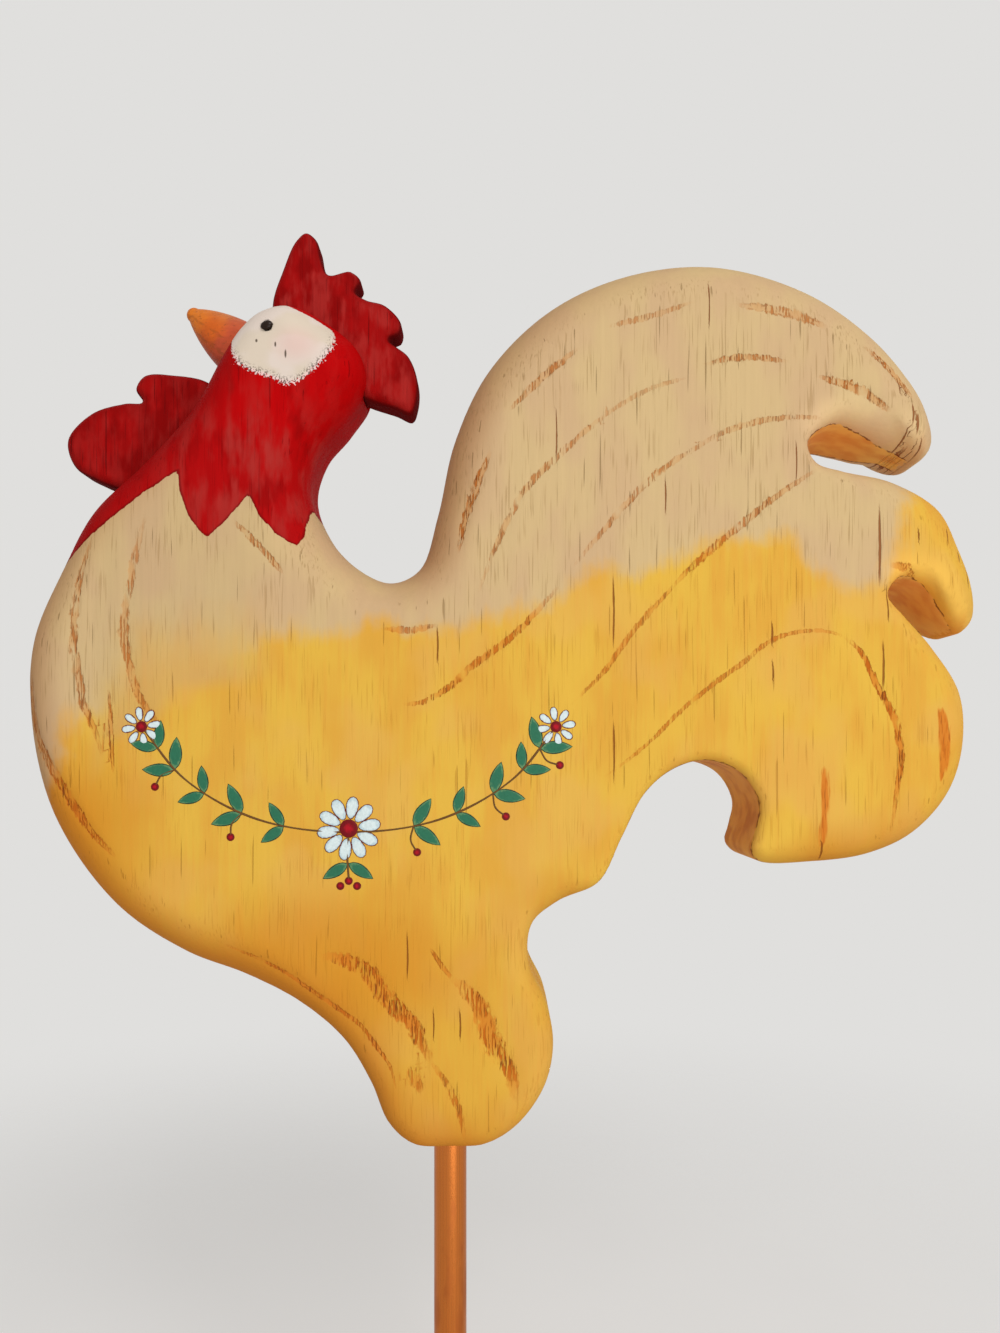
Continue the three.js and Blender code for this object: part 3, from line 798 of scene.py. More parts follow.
@dataclass(frozen=True)
class BoardPaint:
    """The rooster's paint: red head and hackle, pale face, cream above and yellow below."""

    name: str = "board_paint"
    pores: Pores = field(default_factory=Pores)
    cheek: tuple[Spot, Spot] = ((-41.5, 222.5), (7.5, 6))
    ticks: tuple[tuple[Spot, Spot], ...] = (
        ((-52.4, 223.2), (0.28, 0.42)), ((-47.2, 222.2), (0.24, 0.62)), ((-44.4, 219.6), (0.25, 1.0)),
    )

    def make(self) -> bpy.types.Material:
        """Lays cream, yellow, stain, red and the face over each other.

        Returns:
            The material.
        """
        m = Mixer(self.name)
        clouds = m.grain((13, 13, 26), seed=7)
        streaks = m.grain((1.3, 1.3, 30), seed=8, detail=3)
        pores, cracks = self.pores.lines(m)
        # Rim darkening: glaze plus painted shade, strongest on rims that face away from the light.
        rim_darkening = m.reading("rim_glaze_and_shade")
        cream = m.blend(m.between(clouds, 0.35, 0.65), Pot.CREAM, Pot.CREAM_PINK)
        cream = m.blend(rim_darkening * 0.8, cream, Pot.CREAM_GLAZE_SHADE)
        yellow = m.blend(m.between(clouds + (streaks - 0.5) * 0.5, 0.35, 0.68), Pot.YELLOW, Pot.YELLOW_DEEP)
        peach = m.between(m.grain((24, 24, 30), seed=28, detail=2), 0.46, 0.62)
        yellow = m.blend(peach * 0.45, yellow, Pot.YELLOW_PEACH)
        yellow = m.blend(m.reading("warmth"), yellow, Pot.ORANGE)
        yellow = m.blend(rim_darkening * 0.85, yellow, Pot.ORANGE_GLAZE_SHADE)
        wander = (clouds - 0.5) * 15 + (m.grain((5, 5, 7), seed=9, detail=3) - 0.5) * 7
        soft = m.reading("yellow_gap") + wander + (streaks - 0.5) * 3
        thin = m.reading("yellow_thin")
        yellow_share = m.between(soft, -4, 3.5) * (1.0 - thin) + m.between(soft, -17, 7) * thin * 0.7
        ground = m.blend(yellow_share, cream, yellow)
        # The lift reading lightens the tail tips' undersides as painted light and darkens the leg's left edge
        # as painted shade.
        ground = m.lit(ground, 1.0 + (streaks - 0.5) * 0.1 + m.reading("lift"))
        pore_colour = m.blend(yellow_share, Pot.PORE_BROWN, Pot.PORE_OCHRE)
        ground = m.blend(pores * (0.42 - yellow_share * 0.16), ground, pore_colour)
        ground = m.blend(cracks * (0.6 - yellow_share * 0.2), ground, m.lit(pore_colour, 0.85))
        ground, bite = self._strokes(m, ground, yellow_share)
        ground = self._walls(m, ground)
        red = self._red(m, streaks, pores, cracks)
        ragged = (m.grain((1.6, 1.6, 4), seed=11) - 0.5) * 1.1
        hackle = m.reading("hackle_gap") + ragged
        is_red = m.between(hackle, -0.06, 0.06)
        colour = m.blend(is_red, ground, red)
        face, is_face = self._face(m)
        colour = m.blend(is_face, colour, face)
        grooved = (streaks - 0.5) * 0.08 - pores * 0.05 - cracks * 0.14
        height = grooved * (1.0 - is_face * 0.9) + is_red * 0.05 + is_face * 0.05
        height = height - bite * (1.0 - is_red) * 0.22
        roughness = 0.56 + pores * 0.12 + (clouds - 0.5) * 0.12
        return m.coat(colour, roughness, m.relief(height), Specular_IOR_Level=0.02)

    def _walls(self, m: Mixer, ground: Tone) -> Tone:
        """Stains the sawn walls of the arch and the notches, with a dark broken line at their edge.

        Args:
            m: the material's mixer.
            ground: the colour under the stain.

        Returns:
            The colour with the stain on it.
        """
        ragged = m.grain((1.4, 1.4, 2.2), seed=10, detail=3) - 0.5
        stained = m.between(m.reading("stained") + ragged * 0.6, 0.3, 0.6)
        wall = m.reading("wall_gap") + ragged * 2.2
        shade = m.between(m.grain((7, 7, 7), seed=12, detail=2), 0.35, 0.65)
        low = m.blend(shade, Pot.HOLLOW_STAIN, Pot.HOLLOW_DEEP)
        high = m.blend(shade, Pot.NOTCH_STAIN_LIT, Pot.NOTCH_DEEP_LIT)
        # Painted light: the tail notches' walls take a lighter copy of the stain.
        stain = m.blend(m.reading("notch"), low, high)
        ground = m.blend(m.between(wall, -0.8, 0.0) * stained, ground, stain)
        kept = m.between(m.grain((2.6, 2.6, 4), seed=5, detail=1), 0.38, 0.5)
        line = m.between((wall + 0.5).size(), 0.55, 0.2) * kept
        return m.blend(line * stained * 0.85, ground, Pot.ARRIS)

    def _strokes(self, m: Mixer, ground: Tone, yellow_share: Tone) -> tuple[Tone, Tone]:
        """Rubs stain into the grooves: ragged sides, ticks along the grain and a thin wash.

        Args:
            m: the material's mixer.
            ground: the colour under the stain.
            yellow_share: how yellow the ground is, from 0 to 1.

        Returns:
            The colour with the strokes on it, and how deep they bite.
        """
        off, across = m.reading("stroke_off"), m.reading("stroke_across")
        power, rails, brush = (m.reading(f"stroke_{part}") for part in ("power", "rails", "brush"))
        plain = power * (1.0 - brush) * m.between(off, 1.6, 0.8)
        wobble = m.grain((0.9, 0.9, 2.4), seed=14, detail=3) - 0.5
        body = m.between(across.size() + wobble * 2.2, 1.25, 0.75) * plain
        shaky = across + (m.grain((2.5, 2.5, 5), seed=13) - 0.5) * 1.8
        side = m.between((shaky.size() - 0.8).size(), 0.3, 0.1) * rails
        side = side * m.between(m.grain((0.6, 0.6, 2.5), seed=15, detail=1), 0.4, 0.52)
        ticks = m.between(m.grain((0.48, 0.48, 4.2), seed=16, detail=1), 0.48, 0.58)
        kept = m.between(m.grain((5, 5, 6), seed=17, detail=1), 0.32, 0.46)
        hatch = side.or_more(ticks * 0.9) * body * kept
        wash = body * m.between(m.grain((5, 5, 8), seed=18), 0.3, 0.55)
        shaky = m.reading("crack_across").size() + (m.grain((1.5, 1.5, 5), seed=19) - 0.5) * 1.6
        line = m.between(shaky, 1.1, 0.5)
        line = line * m.between(m.reading("crack_off"), 1.4, 0.7) * m.reading("crack_power")
        thick = m.between(off + (m.grain((1.2, 1.2, 9), seed=20) - 0.5) * 2.6, 0.3, -0.5) * brush
        core = m.between(m.grain((0.6, 0.6, 5), seed=27, detail=1), 0.54, 0.66)
        dark = m.blend(core, m.blend(yellow_share, Pot.STAIN_MID, Pot.STAIN_OCHRE), Pot.STAIN_DARK)
        pale = m.blend(yellow_share, Pot.STAIN_WASH, Pot.WASH_OCHRE)
        ground = m.blend((wash * (0.45 + yellow_share * 0.1)).or_more(thick * 0.85), ground, pale)
        ground = m.blend((hatch * 0.9).or_more(thick * ticks * 0.6), ground, dark)
        ground = m.blend(line * 0.85, ground, Pot.STAIN_DARK)
        return ground, (hatch * 0.8 + wash * 0.3).or_more(line)

    def _red(self, m: Mixer, streaks: Tone, pores: Tone, cracks: Tone) -> Tone:
        """The hackle's reds: brighter on the head, worn in streaks with a painted pinkish sheen, deeper at
        the rims and walls as painted shade, dark in the grain.

        Args:
            m: the material's mixer.
            streaks: fine streaks along the grain.
            pores: short soft pores.
            cracks: long thin cracks.

        Returns:
            The colour.
        """
        patches = m.grain((7, 7, 16), seed=21, detail=3)
        red = m.blend(m.reading("red_brighter_up"), Pot.RED, Pot.RED_BRIGHT)
        red = m.blend(m.between(patches, 0.54, 0.7) * 0.6, red, Pot.RED_DEEP)
        worn = m.between(m.grain((4.5, 4.5, 15), seed=22, detail=3), 0.42, 0.66)
        # Worn streaks of pinkish red that also stand for a painted sheen.
        red = m.blend(worn * m.reading("red_worn_and_sheen"), red, Pot.RED_WORN_SHEEN)
        # Painted shade: rims facing away from the light and the side walls turn deeper red, with a little
        # glaze at the rims.
        red = m.blend(m.reading("rim_glaze_and_shade") * 0.65, red, Pot.RED_DEEP)
        red = m.blend(m.between(m.reading("wall_gap"), -2.5, 0.5) * 0.15, red, Pot.RED_DEEP)
        red = m.lit(red, 1.0 + (streaks - 0.5) * 0.24)
        edge = m.between(m.reading("hackle_gap"), 0.75, 0.15)
        return m.blend((pores * 0.24).or_more(cracks * 0.4).or_more(edge * 0.55), red, Pot.RED_PORE_AND_SHADE)

    def _face(self, m: Mixer) -> tuple[Tone, Tone]:
        """The pale face: stippled on its low and right sides, with a cheek and three ticks.

        Args:
            m: the material's mixer.

        Returns:
            The face's colour, and where it lies.
        """
        gap = m.reading("face_gap")
        stipple = m.grain((0.6, 0.6, 0.66), seed=24, detail=2)
        broken = m.reading("face_broken")
        is_face = m.between(gap + (stipple - 0.5) * (broken * 3.6 + 0.6), -0.08, 0.12)
        is_face = is_face * m.between(m.reading("wall_gap"), -0.2, -1.4)
        face = m.blend(m.between(m.grain((10, 10, 8), seed=25), 0.4, 0.6), Pot.FACE, Pot.FACE_WARM)
        face = m.blend(m.between(m.oval(*self.cheek), 1.2, 0.1) * 0.6, face, Pot.CHEEK)
        flecks = m.between(m.grain((0.46, 0.46, 0.55), seed=26, detail=1), 0.51, 0.57)
        near = m.between(gap, 2.6, 0.4) * broken
        face = m.blend(near * m.between(gap, 1.4, 0.0) * 0.8, face, Pot.FLECK_PALE)
        face = m.blend(flecks * near * 0.85, face, Pot.FLECK_DARK)
        for at, radii in self.ticks:
            face = m.blend(m.between(m.oval(at, radii), 1.5, 0.7) * 0.9, face, Pot.FLECK_DARK)
        return face, is_face


@dataclass(frozen=True)
class RedPaint:
    """Red paint on a small plate: darker at its edges and in the grain, with painted shade on its side walls.
    """

    name: str
    body: Pot = Pot.RED
    deep: Pot = Pot.RED_DEEP
    worn: float = 0.7
    pores: Pores = field(default_factory=Pores)

    def make(self) -> bpy.types.Material:
        """Lays streaked red over open grain.

        Returns:
            The material.
        """
        m = Mixer(self.name)
        streaks = m.grain((1.1, 1.1, 18), seed=31, detail=3)
        patches = m.grain((8, 8, 12), seed=32, detail=3)
        pores, cracks = self.pores.lines(m)
        edge = m.between(m.reading("rim_gap"), 3.6, 0.5)
        red = m.blend(m.between(patches, 0.42, 0.62), self.body, self.deep)
        worn = m.between(m.grain((3.2, 3.2, 10), seed=33, detail=3), 0.42, 0.66)
        # Worn patches of pinkish red, partly a painted sheen.
        red = m.blend(worn * self.worn, red, Pot.RED_WORN_SHEEN)
        red = m.blend(edge * 0.5, red, self.deep)
        red = m.lit(red, 1.0 + (streaks - 0.5) * 0.3)
        # Painted shade on the plate's side walls, with a dark line at the arris.
        rim = m.between(m.reading("rim_gap") + (patches - 0.5) * 0.8, 0.8, 0.1)
        red = m.blend((pores * 0.34).or_more(cracks * 0.45).or_more(rim * 0.85), red, Pot.RED_PORE_AND_SHADE)
        height = (streaks - 0.5) * 0.08 - pores * 0.06 - cracks * 0.18
        roughness = 0.5 + pores * 0.2 + (patches - 0.5) * 0.14 + rim * 0.4
        return m.coat(red, roughness, m.relief(height), Specular_IOR_Level=0.03)


@dataclass(frozen=True)
class BeakPaint:
    """Orange paint on the beak, with a painted highlight along its top and painted shade underneath, and
    redder at its root.
    """

    name: str = "beak_paint"

    def make(self) -> bpy.types.Material:
        """Lays streaked orange along the beak.

        Returns:
            The material.
        """
        m = Mixer(self.name)
        patches = m.grain((4, 4, 3), seed=41, detail=3)
        streaks = m.grain((5, 0.8, 0.9), seed=42, detail=2)
        # Painted light and shade: lighter along the top, deeper red underneath.
        colour = m.blend(m.between(m.reading("beak_top"), 0.0, 0.8), Pot.BEAK, Pot.BEAK_TOP_LIT)
        colour = m.blend(m.between(m.reading("beak_top"), -0.1, -0.9) * 0.55, colour, Pot.BEAK_UNDER_SHADE)
        along = m.reading("beak_along") + (patches - 0.5) * 7
        colour = m.blend(m.between(along, 10, 18) * 0.75, colour, Pot.BEAK_TIP)
        colour = m.blend(m.between(along, 9.5, 4.0) * 0.75, colour, Pot.BEAK_BLUSH)
        colour = m.lit(colour, 1.0 + (patches - 0.5) * 0.35 + (streaks - 0.5) * 0.25)
        line = m.reading("beak_top") + (m.grain((5, 3, 3), seed=44) - 0.5) * 0.3
        lines = m.between((line + 0.15).size(), 0.07, 0.02)
        lines = lines.or_more(m.between((line + 0.55).size(), 0.06, 0.02))
        dark = m.between(m.grain((1.2, 0.5, 0.6), seed=43, detail=1), 0.62, 0.72)
        dark = dark.or_more(lines * m.between(patches, 0.42, 0.56))
        colour = m.blend(dark * 0.4, colour, Pot.STAIN_DARK)
        relief = m.relief((streaks - 0.5) * 0.08 - dark * 0.04)
        return m.coat(colour, 0.44 + (patches - 0.5) * 0.1, relief, Specular_IOR_Level=0.13)


@dataclass(frozen=True)
class BeadGloss:
    """A polished dark bead."""

    name: str = "bead"

    def make(self) -> bpy.types.Material:
        """Makes a nearly black, shiny surface with a little brown in it.

        Returns:
            The material.
        """
        m = Mixer(self.name)
        colour = m.lit(Pot.BEAD, 1.0 + (m.grain((1, 1, 1), seed=51) - 0.5) * 0.6)
        return m.coat(colour, 0.2, None, Specular_IOR_Level=0.16)


@dataclass(frozen=True)
class DrawnCopper:
    """Copper-coloured bright drawn bar."""

    name: str = "drawn_copper"

    def make(self) -> bpy.types.Material:
        """Makes metal with draw lines along the bar and a few duller patches.

        Returns:
            The material.
        """
        m = Mixer(self.name)
        lines = m.grain((0.35, 0.35, 60), seed=61, detail=3)
        dull = m.between(m.grain((6, 6, 18), seed=62, detail=3), 0.52, 0.68)
        colour = m.blend(dull * 0.45, Pot.COPPER, Pot.COPPER_DARK)
        colour = m.lit(colour, 1.0 + (lines - 0.5) * 0.25)
        roughness = 0.27 + dull * 0.16 + (lines - 0.5) * 0.15
        return m.coat(colour, roughness, m.relief((lines - 0.5) * 0.012), Metallic=1.0)


@dataclass(frozen=True)
class BaseWood:
    """Aged ochre paint on the round base, whose grain runs along X, worn on its round edge."""

    name: str = "base_paint"

    def make(self) -> bpy.types.Material:
        """Lays yellow over the grain, orange in the low places and bare wood on the wear.

        Returns:
            The material.
        """
        m = Mixer(self.name)
        pores, cracks = Pores(along=(10, 0.55, 0.55), hair=(22, 0.9, 0.9)).lines(m)
        clouds = m.grain((26, 13, 13), seed=71)
        streaks = m.grain((30, 1.3, 1.3), seed=72, detail=3)
        colour = m.blend(m.between(clouds, 0.36, 0.66), Pot.YELLOW, Pot.YELLOW_DEEP)
        rim = m.reading("base_rim")
        colour = m.blend(rim * 0.6, colour, Pot.ORANGE)
        rub = m.between(m.grain((9, 9, 2.5), seed=73, detail=4) + rim * 0.08, 0.62, 0.7)
        colour = m.blend(rub * rim * 0.4, colour, Pot.BIRCH_DARK)
        colour = m.blend(m.reading("base_low") * 0.75, colour, Pot.HOLLOW_STAIN)
        colour = m.lit(colour, 1.0 + (streaks - 0.5) * 0.2)
        colour = m.blend(pores * 0.5, colour, Pot.PORE_OCHRE)
        colour = m.blend(cracks * 0.75, colour, Pot.STAIN_DARK)
        height = (streaks - 0.5) * 0.09 - pores * 0.05 - cracks * 0.16 - rub * rim * 0.08
        roughness = 0.5 + (clouds - 0.5) * 0.12 + rub * 0.15
        return m.coat(colour, roughness, m.relief(height), Specular_IOR_Level=0.05)


@dataclass(frozen=True)
class BareBirch:
    """Bare birch for the hidden dowels."""

    name: str = "bare_birch"

    def make(self) -> bpy.types.Material:
        """Makes pale wood with fine fibres.

        Returns:
            The material.
        """
        m = Mixer(self.name)
        fibres = m.grain((0.6, 0.6, 7), seed=81, detail=3)
        colour = m.blend(m.between(fibres, 0.4, 0.66), Pot.BIRCH, Pot.BIRCH_DARK)
        return m.coat(colour, 0.68, m.relief((fibres - 0.5) * 0.05))


@dataclass(frozen=True)
class BrushedSpot:
    """Thick brushed paint of the garland: a fill with a darker outline and a shaded middle."""

    name: str
    fill: Pot
    shade: Pot
    outline: Pot
    outline_width: float = 0.4
    shade_from: float = 0.35
    shade_to: float = 0.85

    def make(self) -> bpy.types.Material:
        """Lays the fill, its shading and its outline.

        Returns:
            The material.
        """
        m = Mixer(self.name)
        inset, middle = m.reading("inset"), m.reading("middle")
        brush = m.grain((0.7, 0.7, 0.9), seed=91, detail=3)
        share = m.between(middle + (brush - 0.5) * 0.6, self.shade_from, self.shade_to)
        colour = m.blend(share, self.fill, self.shade)
        ragged = inset + (brush - 0.5) * 0.45
        rim = m.between(ragged, self.outline_width, self.outline_width * 0.45)
        colour = m.blend(rim, colour, self.outline)
        colour = m.lit(colour, 1.0 + (brush - 0.5) * 0.35)
        return m.coat(colour, 0.46, m.relief((brush - 0.5) * 0.06), Specular_IOR_Level=0.13)


@dataclass(frozen=True)
class PaleFloor:
    """Pale matt floor that fades out far from the object."""

    name: str = "pale_floor"
    solid_to: float = 0.22
    gone_at: float = 0.7
    lift: float = 0.2

    def make(self) -> bpy.types.Material:
        """Makes a matt surface that is see-through at a distance.

        Returns:
            The material.
        """
        m = Mixer(self.name)
        share = m.between(m.length(m.place), self.solid_to, self.gone_at)
        mottled = m.lit(Pot.PAPER, 1.1 + (m.grain((60, 60, 60), seed=95) - 0.5) * 0.03)
        matt = m.shader("ShaderNodeBsdfDiffuse", {"Color": mottled})
        seen = Tone(m, m.node("ShaderNodeLightPath").outputs["Is Camera Ray"])
        lift = m.shader("ShaderNodeEmission", {"Color": Pot.PAPER, "Strength": seen * self.lift})
        shown = m.shader("ShaderNodeAddShader", {0: matt, 1: lift})
        clear = m.shader("ShaderNodeBsdfTransparent", {})
        return m.end(m.shader("ShaderNodeMixShader", {0: share, 1: shown, 2: clear}))


def dress(piece: bpy.types.Object, finish: Finish) -> None:
    """Gives a new piece its only material."""
    piece.data.materials.clear()
    piece.data.materials.append(finish.make())


def join_body(
    piece: bpy.types.Object, body: str, replaced: Sequence[str] = ()
) -> bpy.types.Object:
    """Lets a piece ride on a body and what it stands for.

    Args:
        piece: the piece.
        body: the body that carries it.
        replaced: the CAD nodes that it stands for.

    Returns:
        The same piece.
    """
    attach(piece, body)
    if replaced:
        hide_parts(*replaced)
    return piece


# The figure's sub-assemblies.


class StrokeKind(Enum):
    """How a stroke across the grain is made."""

    HATCHED = "hatched"
    BRUSHED = "brushed"


@dataclass(frozen=True)
class Stroke:
    """A groove, crack or brush mark on the board's faces.

    Its points and half width are millimetres. The power is how strong its stain is, and the rails
    how strongly its two sides show.
    """

    points: Spots
    half: float = 0.9
    power: float = 1.0
    kind: StrokeKind = StrokeKind.HATCHED
    rails: float = 0.0


def crack(right: float, top: float, bottom: float, half: float = 0.28) -> Stroke:
    """A nearly straight crack along the grain."""
    return Stroke(((right, top), (right + 0.2, (top + bottom) / 2), (right, bottom)), half)


@dataclass(frozen=True)
class PaintPlan:
    """Where each paint lies on the board's faces, as [right, up]."""

    hackle: Spots = (
        (-113, 161), (-106, 164), (-95, 172.5), (-84, 181), (-74, 187.6), (-73.4, 182), (-71.5, 175.8),
        (-69, 172), (-66.1, 168.9), (-61, 173.6), (-54.4, 181), (-51.7, 175.2), (-47.3, 170.3),
        (-44.5, 168.3), (-41.2, 167), (-39.9, 169.7), (-38.9, 178.8), (-35.5, 174.8), (-30, 169),
        (-14, 176), (-14, 300), (-150, 300), (-150, 150),
    )
    face: Spots = (
        (-50, 236.8), (-54.5, 235.2), (-58, 232.5), (-60.3, 228.5), (-60.2, 224), (-59.3, 220),
        (-57.6, 217), (-55, 215.2), (-51.5, 214), (-48.4, 213), (-45, 211.6), (-41.5, 211.7),
        (-38.2, 214), (-35.2, 216.6), (-32.9, 219.6), (-31.6, 222.6), (-31.5, 225.6), (-32.4, 228.4),
        (-34.6, 231.4), (-37.8, 233.8), (-41.5, 235.6), (-45.5, 236.6),
    )
    yellow: Spots = (
        (-140, 92), (-122, 94), (-113, 100), (-105, 110), (-102, 121), (-93, 124), (-86, 128),
        (-81, 137), (-55, 140), (-42, 143), (-18, 143), (-1, 143), (23, 150), (45, 159), (64, 166),
        (83, 169.5), (94, 169.5), (97, 163), (105, 156), (114, 155), (120, 156), (124, 165), (125, 178),
        (131, 184), (150, 190), (170, 190), (170, -20), (-140, -20),
    )
    strokes: tuple[Stroke, ...] = (
        Stroke(((80, 233), (89, 232), (97, 230), (105, 227)), 1.3, rails=0.6),
        Stroke(((71, 216.6), (78, 218.4), (86, 218.6), (94, 217.4))),
        Stroke(((102, 213.4), (113, 210), (122, 204)), 1.2, 1.25, rails=0.5),
        Stroke(((115, 222.6), (123, 216), (129, 208)), 1.0, 1.25, rails=0.5),
        Stroke(((70, 195), (76, 198), (84, 200.6), (94, 202.2), (104, 202)), 0.8, 0.75),
        Stroke(((102, 188), (90, 180), (79, 171), (69, 162.4), (62, 155.6)), 0.9, 1.0, rails=0.3),
        Stroke(((65, 158.4), (58, 151), (51, 143), (43, 132), (34, 123)), 0.72, 0.8, rails=0.3),
        Stroke(((17, 204), (26, 213), (36, 221))),
        Stroke(((44, 227), (56, 230), (68, 234)), 0.8, 0.7),
        Stroke(((45, 204), (38, 198.3), (30.8, 191.7), (21.8, 182.7), (14, 168),
                (8.5, 153.5)), 0.85, 0.9),
        Stroke(((40, 200), (47.6, 205.5), (56.4, 210.2), (66, 213)), 0.7, 0.5),
        Stroke(((74, 196.6), (63.4, 190.7), (55.6, 184.8), (46, 174.6), (34.7, 161)), 0.85, 0.9),
        Stroke(((31, 156), (24, 148), (17, 141), (6, 133), (2, 129), (-6, 124), (-12, 123))),
        Stroke(((3, 165), (5, 175), (9, 186), (12, 193)), 1.1, 1.4, rails=0.6),
        Stroke(((-18, 144), (-10, 143.6), (-3, 145)), 0.9),
        Stroke(((43, 103), (50, 108), (57, 114), (65, 122), (75, 130), (82, 135), (88, 140), (96, 143),
                (106, 143), (112, 140)), 0.62, 0.8, rails=0.3),
        Stroke(((109, 142), (114, 137.5), (119, 127), (122, 122), (124, 116), (125, 109), (124, 101),
                (122, 87)), 0.95, 1.3, rails=0.5),
        Stroke(((135, 123), (137, 116), (137, 108), (136, 102)), 1.8, 1.0, StrokeKind.BRUSHED),
        Stroke(((104, 106), (104, 98), (103, 83)), 1.3, 0.9, StrokeKind.BRUSHED),
        Stroke(((-97.5, 169.5), (-100.1, 163), (-101.8, 155), (-102.7, 146), (-102.8, 139.8),
                (-101.4, 131.3), (-100.1, 123.3), (-97.2, 116.7), (-94.7, 108.4)), 1.1, rails=0.8),
        Stroke(((-83, 175), (-86, 163), (-88, 152), (-89, 143), (-87.4, 133.8), (-85.1, 126),
                (-81.8, 120.6), (-78.5, 116.6)), 1.2, rails=0.5),
        Stroke(((-116.5, 133), (-117, 126), (-114.5, 114), (-110, 106), (-104, 97), (-98, 88),
                (-91, 81)), 1.3, 1.5, rails=0.9),
        Stroke(((-93, 127.5), (-92.5, 116), (-91.8, 104)), 0.6, rails=1.0),
        Stroke(((-59, 174), (-51, 166), (-45, 159)), 0.9, rails=0.5),
        Stroke(((-35, 54), (-30, 53.2), (-25.3, 51.7), (-20.5, 47.8), (-17.7, 43.5), (-13.9, 39.2),
                (-10, 35.9), (-7.1, 30.1), (-4.3, 24.4)), 2.1, 1.4, rails=0.2),
        Stroke(((-4.5, 25), (0.5, 17.7), (3.4, 11), (4.8, 3.3)), 0.9, 0.9, rails=0.4),
        Stroke(((-10, 24), (-9, 20), (-7, 16.5)), 1.6, 0.8, rails=0.3),
        Stroke(((-4.7, 56), (-1.4, 51.2), (1.8, 47)), 0.6, rails=0.8),
        Stroke(((1.5, 47.8), (5.3, 44.5), (9.1, 39.7), (11.1, 34), (12.8, 29.2), (15.8, 25.4),
                (17.7, 21.5), (19.2, 13.9)), 2.3, 1.2, rails=0.2),
        Stroke(((-62, 57), (-53.5, 53.5), (-45.2, 49.5), (-37, 44), (-30, 39.4), (-23.6, 34.7),
                (-19.4, 29), (-15.6, 23.3), (-14, 17)), 0.6, 1.1, rails=0.5),
        Stroke(((121.8, 161.5), (126, 160.8), (130, 158)), 1.1, 0.9, rails=0.6),
    )
    cracks: tuple[tuple[float, ...], ...] = (
        (45.7, 159, 138), (45.8, 119, 101), (89.3, 146.5, 138.7), (89.5, 135.6, 128.7),
        (119.9, 141, 127, 0.42), (118.9, 178.7, 155, 0.42), (121.3, 156.5, 145.4), (-2.7, 145, 134),
        (-11, 61, 47, 0.22), (-3.8, 39.7, 30.2, 0.2), (3.5, 39.6, 30.5), (103, 80, 86),
        (60, 186, 175, 0.2), (72, 240, 226, 0.2), (30, 205, 190, 0.2), (96, 196, 184, 0.2),
        (129.6, 171.7, 167.3), (138.8, 172.5, 167.4), (142.5, 166.5, 162.8), (145.4, 162.7, 155.5),
        (124.8, 214.3, 208.4), (126.8, 211, 208), (128.7, 207, 200.3, 0.36), (130.3, 204.2, 198.1, 0.4),
        (127.4, 200.9, 195.3), (129.3, 196.3, 193.8), (132.5, 198, 193.8),
    )
    groove_depth: float = 0.3
    # The side the light comes from, used to paint shade on the rims that face away from it.
    window: Spot = (0.88, 0.48)

    def mark(self, mesh: bpy.types.Mesh, corners: Array, near: Nearest) -> Array:
        """Stores what the board's paint reads.

        Args:
            mesh: the board's mesh.
            corners: its corners from the foot.
            near: the outline at those corners.

        Returns:
            How deep the stroke grooves are at each corner.
        """
        spots = corners[:, [0, 2]]
        store(mesh, "stained", near.stained)
        # Where the tail notches' walls take the lighter stain, which is painted light.
        store(mesh, "notch", eased(spots[:, 1], 112, 136))
        store(mesh, "wall_gap", np.clip(near.wall - np.abs(corners[:, 1]), -9, 9))
        self._mark_ground(mesh, spots, near)
        self._mark_head(mesh, spots, near)
        return self._mark_strokes(mesh, spots)

    def _mark_ground(self, mesh: bpy.types.Mesh, spots: Array, near: Nearest) -> None:
        """Stores where the yellow begins, where the rims get glaze and painted shade, where the ground is
        warmer, and where painted light and shade make it lighter or darker.

        Args:
            mesh: the board's mesh.
            spots: its corners as [right, up].
            near: the outline at the place nearest to each corner.
        """
        right, up = spots.T
        # Painted shade: rims that face away from the light side get most of the darkening; rims facing it
        # keep a little glaze.
        shaded = 0.1 + 0.9 * np.clip(0.4 + 0.9 * (near.inward @ np.array(self.window)), 0, 1)
        rim_darkening = eased(near.gap, 15 - 11 * near.stained, 1) * (1 - 0.9 * near.stained)
        store(mesh, "rim_glaze_and_shade", rim_darkening * shaded)
        yellow_gap = np.clip(signed_gap(spots, self.yellow), -60, 60)
        thin = eased(yellow_gap, 13, 7) * eased(right, -44, -62) * eased(right, -100, -92)
        store(mesh, "yellow_gap", yellow_gap)
        store(mesh, "yellow_thin", thin)
        tail_tips = eased(up, 120, 140) * eased(right, 70, 100)
        # Painted light under the tail tips' rounded undersides and painted shade on the leg's left edge; lift
        # also darkens thin yellow a little.
        underside_painted_light = eased(near.inward[:, 1], 0.2, 0.9) * eased(near.gap, 9, 1) * tail_tips
        leg_edge_painted_shade = eased(near.inward[:, 0], 0.2, 0.8) * eased(near.gap, 8, 2) * eased(up, 70, 50)
        store(mesh, "lift", 0.2 * underside_painted_light - 0.09 * leg_edge_painted_shade - 0.05 * thin)
        leg = eased(up, 72, 30) * eased(right, 40, 0)
        breast = eased(right, -70, -104) * eased(up, 122, 90)
        low_belly = eased(np.hypot((right + 34) / 1.8, up - 52), 30, 8)
        store(mesh, "warmth", np.clip(0.25 * leg + 0.95 * breast + 0.65 * low_belly, 0, 1))

